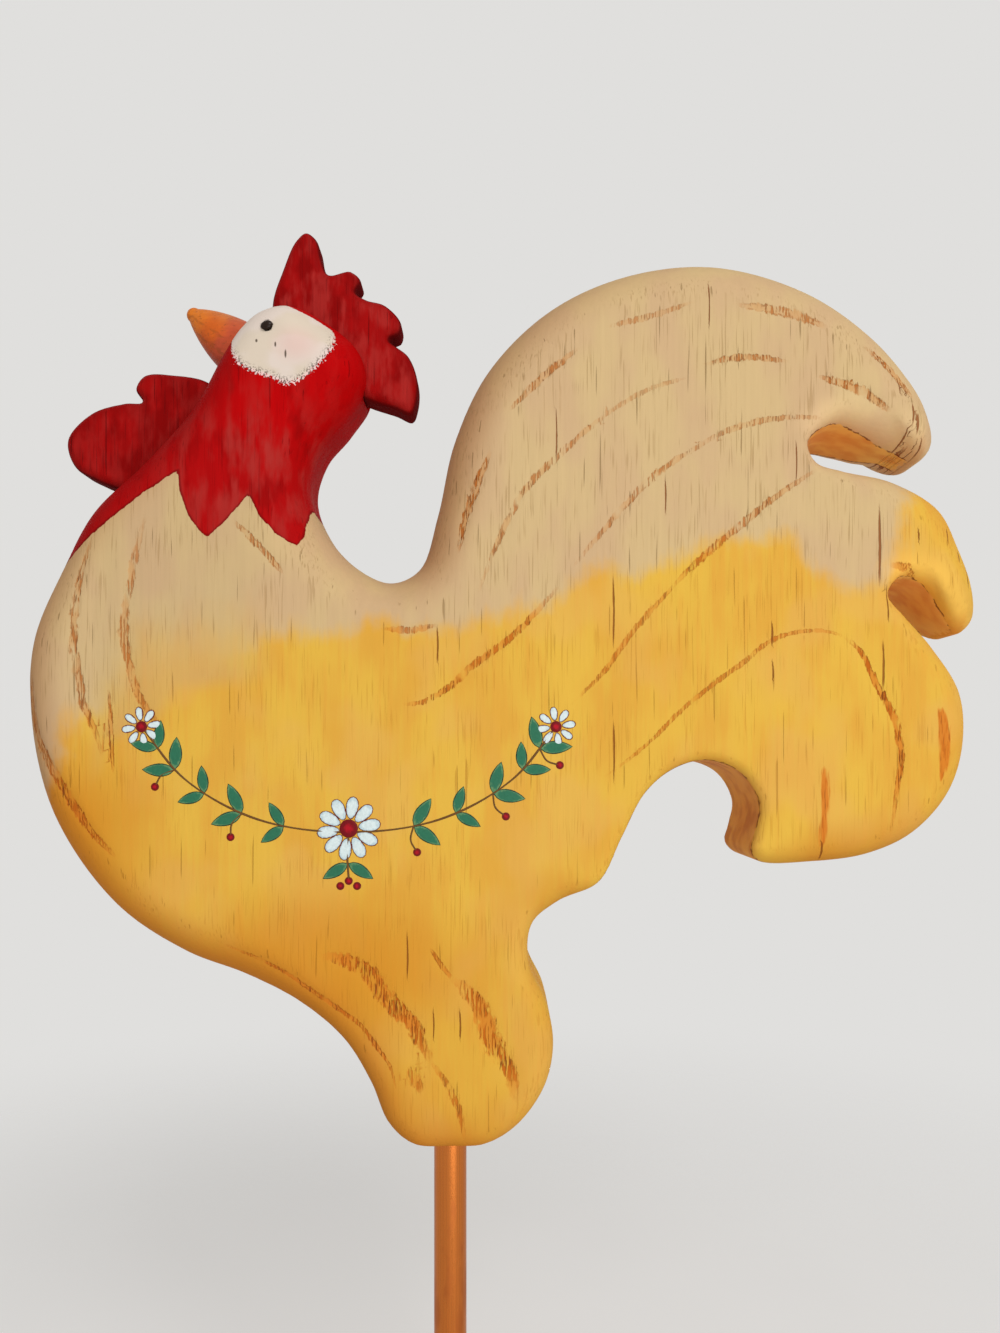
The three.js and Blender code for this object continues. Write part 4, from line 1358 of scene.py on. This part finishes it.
    def _mark_head(self, mesh: bpy.types.Mesh, spots: Array, near: Nearest) -> None:
        """Stores where the hackle and the face are, where the red is brighter up the head, and where it is
        worn with a painted pinkish sheen.

        Args:
            mesh: the board's mesh.
            spots: its corners as [right, up].
            near: the outline at the place nearest to each corner.
        """
        right, up = spots.T
        store(mesh, "hackle_gap", np.clip(signed_gap(spots, self.hackle), -20, 20))
        face = tuple(map(tuple, smooth_path(np.array(self.face, float), 6, closed=True)))
        face_gap = np.minimum(signed_gap(spots, face), near.gap - 2.3 * eased(right, -49, -41))
        store(mesh, "face_gap", np.clip(face_gap, -20, 20))
        store(mesh, "face_broken", eased(up - 0.2 * (right + 46), 227, 219))
        # Brighter red towards the top of the head.
        store(mesh, "red_brighter_up", eased(up, 182, 205) * eased(right, -76, -50))
        # Worn patches with a painted pinkish sheen, strongest in the hackle's middle and under the face.
        below_face = eased(up, 207, 196) * eased(right, -30, -40) * eased(right, -84, -72)
        middle = eased(np.hypot(right + 55, up - 190), 28, 8)
        store(mesh, "red_worn_and_sheen", 0.18 + 0.3 * below_face + 0.55 * middle)

    def _mark_strokes(self, mesh: bpy.types.Mesh, spots: Array) -> Array:
        """Marks the cracks and the strokes.

        Args:
            mesh: the board's mesh.
            spots: its corners as [right, up].

        Returns:
            How deep the strokes are at each corner, in millimetres.
        """
        self._mark_nearest(mesh, spots, "crack", [crack(*row) for row in self.cracks])
        off, power, brush = self._mark_nearest(mesh, spots, "stroke", self.strokes)
        return power * (1 - brush) * self.groove_depth * eased(off, 1.4, -1.0)

    def _mark_nearest(
        self, mesh: bpy.types.Mesh, spots: Array, name: str, strokes: Sequence[Stroke]
    ) -> tuple[Array, Array, Array]:
        """Stores the nearest stroke's offset, side, strength and kind.

        Args:
            mesh: the board's mesh.
            spots: its corners as [right, up].
            name: the first word of the stored names.
            strokes: the strokes to choose from.

        Returns:
            The offset from the nearest stroke's edge, its strength and whether it is brushed.
        """
        off, across = np.full(len(spots), 50.0), np.full(len(spots), 9.0)
        power, rails, brush = (np.zeros(len(spots)) for _ in range(3))
        for stroke in strokes:
            brushed = stroke.kind is StrokeKind.BRUSHED
            path = smooth_path(np.array(stroke.points, float), 4, closed=False)
            distance, place, side = nearest_on(spots, path)
            blunt = 0.05 if brushed else 0.3
            share = place / (len(path) - 1)
            half = stroke.half * (blunt + (1 - blunt) * np.sin(np.pi * share) ** 0.6)
            closer = distance - half < off
            off[closer] = (distance - half)[closer]
            across[closer] = (np.sign(side) * distance / half)[closer]
            power[closer] = (stroke.power * np.minimum(1, 7 * share * (1 - share)))[closer]
            rails[closer], brush[closer] = stroke.rails, float(brushed)
        store(mesh, name + "_off", np.clip(off, -5, 12))
        store(mesh, name + "_across", np.clip(across, -9, 9))
        for part, values in (("power", power), ("rails", rails), ("brush", brush)):
            store(mesh, f"{name}_{part}", values)
        return off, power, brush


SOFT, EASED, TRIM, CRISP, PLATE = 14.0, 9.0, 5.5, 3.0, 2.5

BOARD_RUNS = (
    Run((EASED, EASED), ((-6.35, 22.2), (-7.15, 20.75), (-8.5, 19.2))),
    Run((EASED, SOFT), ((-9.95, 17.8), (-10.98, 16.3))),
    Run((SOFT, SOFT), ((-11.85, 14.2), (-11.93, 11.9), (-11.25, 9.15), (-9.5, 6.65), (-7.5, 5.3))),
    Run((SOFT, TRIM), ((-5.8, 4.65), (-4.2, 3.95), (-2.9, 3))),
    Run((TRIM, TRIM), ((-2.15, 1.8), (-1.65, 0.65))),
    Run((TRIM, TRIM), ((-0.95, 0.06), (0.1, 0), (1.05, 0.06), (1.95, 0.6))),
    Run((TRIM, TRIM), ((2.72, 1.7), (2.95, 2.85), (2.75, 4), (2.27, 5.1), (2.35, 6.2), (3.1, 6.85))),
    Run((CRISP, CRISP), ((4.2, 7.4), (4.85, 8.65), (5.5, 9.88), (6.3, 10.55), (7.2, 10.78),
                         (8.15, 10.42), (8.65, 9.55), (8.52, 8.75)), True),
    Run((CRISP, TRIM), ((8.42, 8.3), (8.72, 7.95)), True),
    Run((TRIM, EASED), ((10.2, 7.95), (11.7, 8.15), (13, 8.72), (14.05, 9.85), (14.5, 11.2))),
    Run((EASED, EASED), ((14.4, 12.7), (13.6, 14))),
    Run((TRIM, CRISP), ((12.75, 14.8), (12.25, 15.4), (12.55, 15.86)), True),
    Run((TRIM, EASED), ((13.2, 15.74), (13.55, 15.46), (13.8, 15.12), (14.08, 14.77)), True),
    Run((SOFT, SOFT), ((14.6, 14.4), (14.95, 14.72), (14.96, 15.5))),
    Run((SOFT, EASED), ((14.58, 16.7), (13.88, 17.88), (12.5, 18.62))),
    Run((TRIM, CRISP), ((11, 18.86), (10.25, 19.08), (10, 19.6)), True),
    Run((TRIM, SOFT), ((10.76, 20.19), (11.58, 20.01), (12.17, 19.8), (12.78, 19.64)), True),
    Run((SOFT, SOFT), ((13.45, 19.36), (13.8, 19.72), (13.65, 20.6))),
    Run((SOFT, SOFT), ((13.22, 21.45), (12.1, 22.78), (10.2, 24.1), (7.6, 24.85), (5.1, 24.62))),
    Run((SOFT, SOFT), ((2.9, 23.65), (1.13, 21.93), (0.15, 19.9), (-0.33, 17.8))),
    Run((SOFT, SOFT), ((-0.85, 16.25), (-1.65, 15.87), (-2.65, 16.3), (-3.55, 17.3), (-4, 18.5),
                       (-3.7, 19.65))),
    Run((SOFT, SOFT), ((-3, 20.5), (-2.4, 21.5), (-2.6, 22.5), (-3.5, 23.3))),
    Run((EASED, EASED), ((-4.5, 23.6), (-5.3, 23.42), (-5.85, 22.95))),
)

COMB_RUNS = (
    Run((PLATE, PLATE), ((-1.6, 20.98), (-1.13, 20.8), (-0.97, 21.15), (-0.94, 21.8), (-1.2, 22.5),
                         (-1.76, 22.98))),
    Run((PLATE, PLATE), ((-1.46, 23.16), (-1.42, 23.48), (-1.88, 23.98), (-2.42, 24.14),
                         (-2.74, 24.36))),
    Run((PLATE, PLATE), ((-2.58, 24.68), (-2.88, 24.96), (-3.52, 24.87))),
    Run((PLATE, PLATE), ((-3.72, 25.28), (-3.86, 25.86), (-4.16, 26.08), (-4.48, 25.82), (-4.84, 25),
                         (-5.14, 24.05))),
    Run((PLATE, PLATE), ((-5.05, 23.2), (-4.45, 22.95), (-3.7, 22.72), (-3.1, 22.25), (-2.9, 21.65),
                         (-2.55, 21.32))),
)

WATTLE_RUNS = (
    Run((PLATE, PLATE), ((-7, 21.73), (-8, 21.94), (-8.82, 21.92), (-9.09, 21.52), (-8.9, 21.16))),
    Run((PLATE, PLATE), ((-9.4, 21.12), (-10.35, 20.83), (-11.06, 20.05), (-10.85, 19.27),
                         (-10.2, 18.87), (-9.5, 18.6))),
    Run((PLATE, PLATE), ((-8.75, 18.3), (-8.1, 18.85), (-7.35, 19.65), (-6.75, 20.45), (-6.5, 21.15))),
)


@dataclass
class CarvedBody:
    """The sawn board with its rounded edges, stroke grooves and paint."""

    thickness: float = BOARD_THICKNESS
    voxel: float = 1.18
    skin_reach: float = 0.9
    crease: float = 55
    plan: PaintPlan = field(default_factory=PaintPlan)

    def build(self) -> list[bpy.types.Object]:
        """Builds and dresses the board.

        Returns:
            The piece, in a list.
        """
        piece = fine_copy("carved_body", "painted_board", self.voxel)
        outline = Outline(BOARD_RUNS, self.thickness)
        corners = corners_of(piece.data)
        corners = outline.settle(corners, self.skin_reach)
        place_corners(piece.data, corners, "carved_body")
        depth = self.plan.mark(piece.data, corners, outline.nearest(corners[:, [0, 2]]))
        store_end_grain(piece.data, 2)
        place_corners(piece.data, corners - normals_of(piece.data) * depth[:, None], "carved_body")
        shade(piece.data, self.crease)
        dress(piece, BoardPaint())
        return [join_body(piece, "figure", ["carved_body"])]


@dataclass
class LetInPlate:
    """A thin scalloped plate that is let into the board's edge: the comb or the wattle."""

    node: str
    name: str
    slot: str
    thickness: float
    runs: tuple[Run, ...]
    finish: RedPaint
    voxel: float = 0.62
    skin_reach: float = 0.6
    crease: float = 55

    def build(self) -> list[bpy.types.Object]:
        """Builds and dresses the plate.

        Returns:
            The piece, in a list.
        """
        piece = fine_copy(self.node, self.name, self.voxel)
        outline = Outline(self.runs, self.thickness, steps=16)
        corners = corners_of(piece.data)
        corners = outline.settle(corners, self.skin_reach)
        place_corners(piece.data, corners, self.node)
        store(piece.data, "rim_gap", outline.nearest(corners[:, [0, 2]]).gap)
        store_end_grain(piece.data, 2)
        shade(piece.data, self.crease)
        dress(piece, self.finish)
        return [join_body(piece, "figure", [self.node])]


@dataclass
class Beak:
    """The turned beak with its round tip."""

    diameter: float = 16.4
    length: float = 21.0
    tip_radius: float = 2.2
    flatness: float = 0.86
    seat_depth: float = 2.0
    root: Spot = (-60.2, 227.2)
    angle: float = 143.0

    def profile(self) -> list[Spot]:
        """The beak's radius along its length, from its flat end to the tip.

        Returns:
            Points of [radius, distance from the flat end].
        """
        butt, start = self.diameter / 2, self.length - self.tip_radius
        seated = -self.seat_depth
        points: list[Spot] = [(0, seated), (butt - 0.3, seated), (butt, seated + 0.3)]
        knots = ((butt, 0.0), (butt, 0.35 * self.length))
        knots += ((2 * self.tip_radius, 0.75 * self.length), (self.tip_radius, start))
        for step in range(37):
            t = step / 36
            weights = ((1 - t) ** 3, 3 * t * (1 - t) ** 2, 3 * t * t * (1 - t), t**3)
            points.append(tuple(sum(w * k[i] for w, k in zip(weights, knots)) for i in (0, 1)))
        points += quarter(self.tip_radius, start, self.tip_radius, self.tip_radius, 8)[:-1]
        return points + [(0.0, self.length)]

    def build(self) -> list[bpy.types.Object]:
        """Builds and dresses the beak.

        Returns:
            The piece, in a list.
        """
        corners, faces = turned(self.profile(), 72, self.flatness)
        placed = moved(corners, seat(self.root, self.angle))
        mesh = mesh_from("beak", placed, faces)
        store(mesh, "beak_along", corners[:, 2])
        store(mesh, "beak_top", corners[:, 0] / (self.diameter / 2))
        piece = new_piece("turned_beak", mesh)
        dress(piece, BeakPaint())
        return [join_body(piece, "figure", ["beak"])]


@dataclass
class Eyes:
    """The oval bead eyes, one on each face of the board."""

    length: float = 3.4
    height: float = 2.4
    dome: float = 0.75
    lift: float = 0.3
    shank: float = 3.0
    shank_diameter: float = 2.6
    tilt: float = 20.0
    centre: Spot = (-49.5, 227.3)

    def build(self) -> list[bpy.types.Object]:
        """Builds and dresses both eyes.

        Returns:
            The pieces.
        """
        radius, stem = self.length / 2, self.shank_diameter / 2
        low = self.lift + 0.08
        profile: list[Spot] = [(0, -self.shank), (stem, -self.shank), (stem, self.lift)]
        profile += [(radius - 0.1, self.lift), (radius, low)]
        profile += quarter(radius, low, radius, self.dome - 0.08, 10)[:-1] + [(0, self.lift + self.dome)]
        corners, faces = turned(profile, 40, self.height / self.length)
        pieces = []
        for node, name, side in (("left_eye", "left_bead_eye", -1), ("right_eye", "right_bead_eye", 1)):
            turn = Matrix.Rotation(-side * math.pi / 2, 4, "X")
            turn = turn @ Matrix.Rotation(-side * math.radians(self.tilt), 4, "Z")
            at = (self.centre[0], side * BOARD_THICKNESS / 2, self.centre[1] + FOOT_HEIGHT)
            piece = new_piece(name, mesh_from(name, moved(corners, Matrix.Translation(at) @ turn), faces))
            dress(piece, BeadGloss(name=name + "_gloss"))
            pieces.append(join_body(piece, "figure", [node]))
        return pieces


@dataclass
class Dowels:
    """The blind dowels, which keep their CAD shape."""

    nodes: tuple[str, ...] = (
        "comb_front_dowel", "comb_rear_dowel", "wattle_upper_dowel", "wattle_lower_dowel", "beak_dowel",
    )

    def build(self) -> list[bpy.types.Object]:
        """Gives the dowels their wood.

        Returns:
            The pieces.
        """
        material = BareBirch().make()
        pieces = [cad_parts[node] for node in self.nodes]
        for piece in pieces:
            if not piece.material_slots:
                raise ValueError(f"{piece.name} has no material slot")
            for slot in piece.material_slots:
                slot.link = "OBJECT"
                slot.material = material
        return pieces


class PaintHeap:
    """Collects the raised brush marks of one colour into one mesh."""

    SUNK = 0.06

    def __init__(self) -> None:
        """Starts empty."""
        self.corners: list[Triple] = []
        self.faces: list[list[int]] = []
        self.inset: list[float] = []
        self.middle: list[float] = []

    def _add(self, spot: Array, proud: float, inset: float, middle: float) -> int:
        """Adds a corner on the front face.

        Args:
            spot: its place as [right, up].
            proud: how far it stands out of the face.
            inset: how far it lies inside the mark's edge.
            middle: 0 at the mark's edge and 1 in its middle.

        Returns:
            The corner's index.
        """
        level = -BOARD_THICKNESS / 2 - proud
        self.corners.append((float(spot[0]), level, float(spot[1]) + FOOT_HEIGHT))
        self.inset.append(inset)
        self.middle.append(middle)
        return len(self.corners) - 1

    def blob(self, ring: Array, proud: float) -> None:
        """Adds a domed closed mark inside a counterclockwise ring that its centre can see.

        Args:
            ring: rows of right and up.
            proud: how far its middle stands out of the face.
        """
        centre = ring.mean(0)
        radii = np.linalg.norm(ring - centre, axis=1)
        rows = []
        for share, height in ((1.0, -self.SUNK), (0.97, proud * 0.55), (0.8, proud * 0.85), (0.45, proud)):
            rows.append([
                self._add(centre + (spot - centre) * share, height, (1 - share) * radius, 1 - share)
                for spot, radius in zip(ring, radii)
            ])
        tip = self._add(centre, proud, float(radii.min()), 1.0)
        count = len(ring)
        for i in range(count):
            j = (i + 1) % count
            for low, high in zip(rows, rows[1:]):
                self.faces.append([low[i], low[j], high[j], high[i]])
            self.faces.append([rows[-1][i], rows[-1][j], tip])
        self.faces.append(rows[0][::-1])

    def line(self, path: Array, half_widths: Array, proud: float) -> None:
        """Adds a raised closed line along a path.

        Args:
            path: rows of right and up.
            half_widths: half the width at each row.
            proud: how far its middle stands out of the face.
        """
        along = np.gradient(path, axis=0)
        along /= np.linalg.norm(along, axis=1)[:, None]
        left = np.column_stack([-along[:, 1], along[:, 0]])
        steps = ((1.0, -self.SUNK), (0.7, proud * 0.8), (0.0, proud), (-0.7, proud * 0.8), (-1.0, -self.SUNK))
        rows = [
            [
                self._add(spot + side * half * share, height, half * (1 - abs(share)), 1 - abs(share))
                for share, height in steps
            ]
            for spot, side, half in zip(path, left, half_widths)
        ]
        for low, high in zip(rows, rows[1:]):
            for i in range(len(steps)):
                j = (i + 1) % len(steps)
                self.faces.append([low[j], low[i], high[i], high[j]])
        self.faces.append(rows[0])
        self.faces.append(rows[-1][::-1])

    def piece(self, name: str, finish: Finish) -> bpy.types.Object:
        """Makes one piece of everything in the heap.

        Args:
            name: the piece's name.
            finish: its finish.

        Returns:
            The piece.
        """
        mesh = mesh_from(name, np.array(self.corners), self.faces, 60)
        store(mesh, "inset", np.array(self.inset))
        store(mesh, "middle", np.array(self.middle))
        made = new_piece(name, mesh)
        dress(made, finish)
        return join_body(made, "figure")


def turned_spots(spots: Array, angle: float, at: Array) -> Array:
    """Spots turned by an angle in degrees and moved to a place."""
    c, s = math.cos(math.radians(angle)), math.sin(math.radians(angle))
    return spots @ np.array(((c, s), (-s, c))) + at


@dataclass
class Garland:
    """A symmetrical painted swag of leaves, berries and three daisies on the front face."""

    swag: Spots = ((-84, 117), (-72, 102.5), (-52, 91.5), (-27, 88), (-2, 91.5), (18, 102.5), (30, 117))
    leaf_length: float = 9.2
    leaf_half: float = 1.95
    pairs: int = 12
    stem_half: float = 0.34
    berry_radius: float = 1.15
    large_daisy: float = 9.0
    small_daisy: float = 5.6
    bare_middle: int = 5
    proud: float = 0.12

    def leaf(self, grow: float = 1.0) -> Array:
        """A pointed leaf from its foot at the origin along +right.

        Args:
            grow: its size, 1 for the usual one.

        Returns:
            Rows of right and up, counterclockwise.
        """
        share = np.linspace(0, 1, 9)
        width = self.leaf_half * np.sin(np.pi * share**0.85) ** 0.8
        top = np.column_stack([share * self.leaf_length, width])
        low = np.column_stack([share[::-1] * self.leaf_length, -width[::-1] * 0.92])
        return np.vstack([low[::-1][:-1], top[::-1][:-1]]) * grow

    def daisy(self, at: Spot, radius: float, count: int, petals: PaintHeap, hearts: PaintHeap) -> None:
        """Adds a daisy's petals and its round middle.

        Args:
            at: its middle as [right, up].
            radius: the whole flower's radius.
            count: how many petals it has.
            petals: takes the petals.
            hearts: takes the middle.
        """
        angle = np.linspace(0, 2 * np.pi, 15)[:-1]
        swell = 1 + 0.18 * np.cos(angle)
        petal = np.column_stack([radius * 0.36 * np.cos(angle), radius * 0.2 * np.sin(angle) * swell])
        for i in range(count):
            turn = 360 * i / count + 9
            petals.blob(turned_spots(petal + (radius * 0.64, 0), turn, np.array(at)), self.proud)
        self.berry(at, radius * 0.29, hearts, self.proud * 1.6)

    def berry(self, at: Spot, radius: float, heap: PaintHeap, proud: float) -> None:
        """Adds a round spot."""
        angle = np.linspace(0, 2 * np.pi, 15)[:-1]
        heap.blob(radius * np.column_stack([np.cos(angle), np.sin(angle)]) + at, proud)

    def build(self) -> list[bpy.types.Object]:
        """Builds and dresses the swag.

        Returns:
            The pieces.
        """
        stems, leaves, petals, reds = (PaintHeap() for _ in range(4))
        path = smooth_path(np.array(self.swag, float), 10, closed=False)
        spread = np.linspace(0, np.pi, len(path))
        stems.line(path, self.stem_half * (0.75 + 0.35 * np.sin(spread * 5) ** 2), self.proud)
        for i in range(self.pairs):
            self._sprig(i, path, stems, leaves, reds)
        self._drop(stems, leaves, reds)
        self.daisy((-27, 89), self.large_daisy, 10, petals, reds)
        self.daisy(self.swag[0], self.small_daisy, 8, petals, reds)
        self.daisy(self.swag[-1], self.small_daisy, 8, petals, reds)
        dark = Pot.LEAF_DARK
        stem_brush = BrushedSpot("stem_brush", Pot.STEM, Pot.STEM, dark, 0.1)
        leaf_brush = BrushedSpot("leaf_brush", Pot.LEAF_LIGHT, Pot.LEAF, dark, 0.5, 0.05, 0.35)
        petal_brush = BrushedSpot("petal_brush", Pot.PETAL_SHADE, Pot.PETAL, Pot.OUTLINE, 0.4, 0.1, 0.5)
        berry_brush = BrushedSpot("berry_brush", Pot.BERRY_DARK, Pot.BERRY, Pot.OUTLINE, 0.3)
        return [
            stems.piece("garland_stems", stem_brush),
            leaves.piece("garland_leaves", leaf_brush),
            petals.piece("garland_petals", petal_brush),
            reds.piece("garland_berries", berry_brush),
        ]

    def _sprig(self, i: int, path: Array, stems: PaintHeap, leaves: PaintHeap, reds: PaintHeap) -> None:
        """Adds a pair of leaves, and a hanging berry to every second pair.

        Args:
            i: which pair it is, from the left.
            path: the swag's curve.
            stems: takes the berry's stem.
            leaves: takes the leaves.
            reds: takes the berry.
        """
        share, middle = (i + 0.75) / (self.pairs + 0.5), (len(path) - 1) / 2
        index = round(share * (len(path) - 1))
        if abs(index - middle) < self.bare_middle:
            return
        way = 1 if index < middle else -1
        along = path[min(index + 1, len(path) - 1)] - path[max(index - 1, 0)]
        heading = math.degrees(math.atan2(along[1], along[0])) + (180 if way > 0 else 0)
        leaf = self.leaf(0.86 + 0.14 * (i % 2))
        for lean in (42, -42):
            leaves.blob(turned_spots(leaf, heading + lean * (1 + 0.1 * (i % 3)), path[index]), self.proud)
        if i % 2 == 0:
            return
        hang = turned_spots(np.array(((0, 0), (1.5, 3.6), (0.4, 7.2))), heading + 90 - 90 * way, path[index])
        stems.line(smooth_path(hang, 6, closed=False), np.full(13, self.stem_half * 0.8), self.proud)
        self.berry(tuple(hang[-1]), self.berry_radius, reds, self.proud)

    def _drop(self, stems: PaintHeap, leaves: PaintHeap, reds: PaintHeap) -> None:
        """Adds the two leaves and three berries that hang under the middle daisy.

        Args:
            stems: takes the stem.
            leaves: takes the leaves.
            reds: takes the berries.
        """
        drop = np.array(((-27, 88), (-27.4, 82), (-27, 75)), float)
        stems.line(smooth_path(drop, 8, closed=False), np.full(17, self.stem_half), self.proud)
        for lean in (-58, 58):
            leaves.blob(turned_spots(self.leaf(0.9), -90 + lean, np.array((-27.2, 79.5))), self.proud)
        for at in ((-27, 74.6), (-29.3, 73.2), (-24.7, 73.2)):
            self.berry(at, self.berry_radius, reds, self.proud)


@dataclass
class Rod:
    """The round metal rod that the rooster stands and turns on."""

    diameter: float = 9.5
    low: float = 6.0
    high: float = 202.0
    chamfer: float = 0.8

    def build(self) -> list[bpy.types.Object]:
        """Builds and dresses the rod.

        Returns:
            The piece, in a list.
        """
        radius = self.diameter / 2
        profile: list[Spot] = [(0, self.low), (radius - self.chamfer, self.low)]
        profile.append((radius, self.low + self.chamfer))
        profile += [(radius, height) for height in np.linspace(self.low + 6, self.high - 6, 12)]
        profile += [(radius, self.high - self.chamfer), (radius - self.chamfer, self.high), (0, self.high)]
        corners, faces = turned(profile, 64)
        piece = new_piece("copper_rod", mesh_from("copper_rod", corners, faces, 30))
        dress(piece, DrawnCopper())
        return [join_body(piece, "figure", ["rod"])]


@dataclass
class Base:
    """The turned round base with the rod's blind hole."""

    diameter: float = 140.0
    thickness: float = 22.0
    top_round: float = 7.0
    foot_chamfer: float = 1.5
    hole: float = 10.1
    hole_depth: float = 16.3
    hole_easing: float = 0.5

    def profile(self) -> list[Spot]:
        """The base's profile from the middle of its underside to the bottom of the hole.

        Returns:
            Points of [radius, height].
        """
        outer, hole, top = self.diameter / 2, self.hole / 2, self.thickness
        chamfer = self.foot_chamfer
        points: list[Spot] = [(0, 0), (outer * 0.5, 0), (outer - chamfer - 0.4, 0), (outer - chamfer, 0.15)]
        points += [(outer - 0.15, chamfer), (outer, chamfer + 0.4)]
        points += [(outer, (top - self.top_round) * share) for share in (0.4, 0.7, 1.0)]
        points += quarter(outer, top - self.top_round, self.top_round, self.top_round, 14)
        points += [(radius, top) for radius in np.linspace(outer - self.top_round - 8, hole + 8, 8)]
        points += [(hole + self.hole_easing, top), (hole, top - self.hole_easing)]
        return points + [(hole, top - self.hole_depth), (0, top - self.hole_depth)]

    def build(self) -> list[bpy.types.Object]:
        """Builds and dresses the base.

        Returns:
            The piece, in a list.
        """
        corners, faces = turned(self.profile(), 144)
        mesh = mesh_from("painted_base", corners, faces, 35)
        radius, height = np.hypot(corners[:, 0], corners[:, 1]), corners[:, 2]
        outer = self.diameter / 2
        store(mesh, "base_rim", eased(radius, outer - 11, outer - 2) * eased(height, 4, 12))
        hole = eased(radius, self.hole / 2 + 3, self.hole / 2 + 0.6)
        store(mesh, "base_low", np.maximum(eased(height, 3.5, 0.3), hole))
        store_end_grain(mesh, 0)
        piece = new_piece("painted_base", mesh)
        dress(piece, BaseWood())
        return [join_body(piece, "stand", ["base"])]


@dataclass(frozen=True)
class Lamp:
    """A square soft lamp that looks at a point, in metres and watts."""

    name: str
    place: Triple
    aim: Triple
    size: float
    watts: float

    def hang(self) -> None:
        """Adds the lamp to the scene."""
        data = bpy.data.lights.new(self.name, "AREA")
        data.size = self.size
        data.energy = self.watts
        lamp = bpy.data.objects.new(self.name, data)
        lamp.location = self.place
        lamp.rotation_euler = (Vector(self.aim) - Vector(self.place)).to_track_quat("-Z", "Y").to_euler()
        bpy.context.scene.collection.objects.link(lamp)


@dataclass
class Studio:
    """Camera, soft lamps, pale world and floor."""

    sensor: float = 36.0
    focal_share: float = 1000 / 1333
    principal_drop: float = 95.5 / 1333
    camera_place: Triple = (14.6, -294.0, 249.3)
    key: Lamp = Lamp("key", (0.52, -1.12, 1.05), (0.0, 0.0, 0.27), 0.75, 7.9)
    bounce: Lamp = Lamp("bounce", (0.32, -0.78, 0.07), (0.03, 0.0, 0.27), 0.5, 1.95)
    world_level: float = 0.51
    world_colour: tuple[float, float, float, float] = (1.0, 0.99, 0.98, 1.0)
    floor_radius: float = 1.6

    def build(self) -> None:
        """Sets up everything round the object."""
        self._camera()
        self.key.hang()
        self.bounce.hang()
        self._world()
        self._floor()

    def _camera(self) -> None:
        """Puts the camera where the photograph was taken from."""
        data = bpy.data.cameras.new("camera")
        data.sensor_width = self.sensor
        data.lens = self.sensor * self.focal_share
        data.shift_y = self.principal_drop
        data.clip_start = 0.01
        camera = bpy.data.objects.new("camera", data)
        camera.location = Vector(self.camera_place) * MM
        camera.rotation_euler = (math.pi / 2, 0, 0)
        bpy.context.scene.collection.objects.link(camera)
        bpy.context.scene.camera = camera

    def _world(self) -> None:
        """Lights the scene softly and shows pale paper behind it."""
        world = bpy.data.worlds.new("studio")
        world.use_nodes = True
        tree = world.node_tree
        tree.nodes.clear()
        rays = tree.nodes.new("ShaderNodeLightPath")
        seen = rays.outputs["Is Camera Ray"]
        for name in ("Is Glossy Ray", "Is Transmission Ray"):
            either = tree.nodes.new("ShaderNodeMath")
            either.operation = "MAXIMUM"
            tree.links.new(seen, either.inputs[0])
            tree.links.new(rays.outputs[name], either.inputs[1])
            seen = either.outputs[0]
        shown = tree.nodes.new("ShaderNodeBackground")
        shown.inputs["Color"].default_value = Pot.PAPER.linear
        light = tree.nodes.new("ShaderNodeBackground")
        light.inputs["Color"].default_value = self.world_colour
        light.inputs["Strength"].default_value = self.world_level
        mix = tree.nodes.new("ShaderNodeMixShader")
        tree.links.new(seen, mix.inputs[0])
        tree.links.new(light.outputs[0], mix.inputs[1])
        tree.links.new(shown.outputs[0], mix.inputs[2])
        tree.links.new(mix.outputs[0], tree.nodes.new("ShaderNodeOutputWorld").inputs["Surface"])
        bpy.context.scene.world = world
        bpy.context.scene.view_settings.view_transform = "Standard"

    def _floor(self) -> None:
        """Lays the floor under the base."""
        angles = np.arange(64) * 2 * math.pi / 64
        ring = self.floor_radius / MM * np.column_stack([np.cos(angles), np.sin(angles), np.zeros(64)])
        floor = new_piece("floor", mesh_from("floor", ring, [list(range(64))]))
        dress(floor, PaleFloor())


class Assembly(Protocol):
    """A sub-assembly that builds and dresses its own pieces."""

    def build(self) -> list[bpy.types.Object]:
        """Builds the pieces."""


def assemblies() -> list[Assembly]:
    """The sub-assemblies in the order in which they are built.

    Returns:
        One object for each sub-assembly.
    """
    comb_red = RedPaint("comb_paint", Pot.RED_DULL, Pot.RED_DEEP, 0.7)
    wattle_red = RedPaint("wattle_paint", Pot.RED_DULL, Pot.RED_DEEP, 0.3)
    return [
        CarvedBody(),
        LetInPlate("comb", "scalloped_comb", "comb_paint", COMB_THICKNESS, COMB_RUNS, comb_red),
        LetInPlate("wattle", "lobed_wattle", "wattle_paint", WATTLE_THICKNESS, WATTLE_RUNS, wattle_red),
        Beak(),
        Eyes(),
        Dowels(),
        Garland(),
        Rod(),
        Base(),
    ]


def main() -> None:
    """Builds every sub-assembly in order, reports its pieces and sets up the studio."""
    logging.basicConfig(level=logging.INFO, format="%(message)s")
    for assembly in assemblies():
        for piece in assembly.build():
            log.info("%s: %s, %d faces", type(assembly).__name__, piece.name, len(piece.data.polygons))
    Studio().build()


if __name__ == "__main__":
    main()
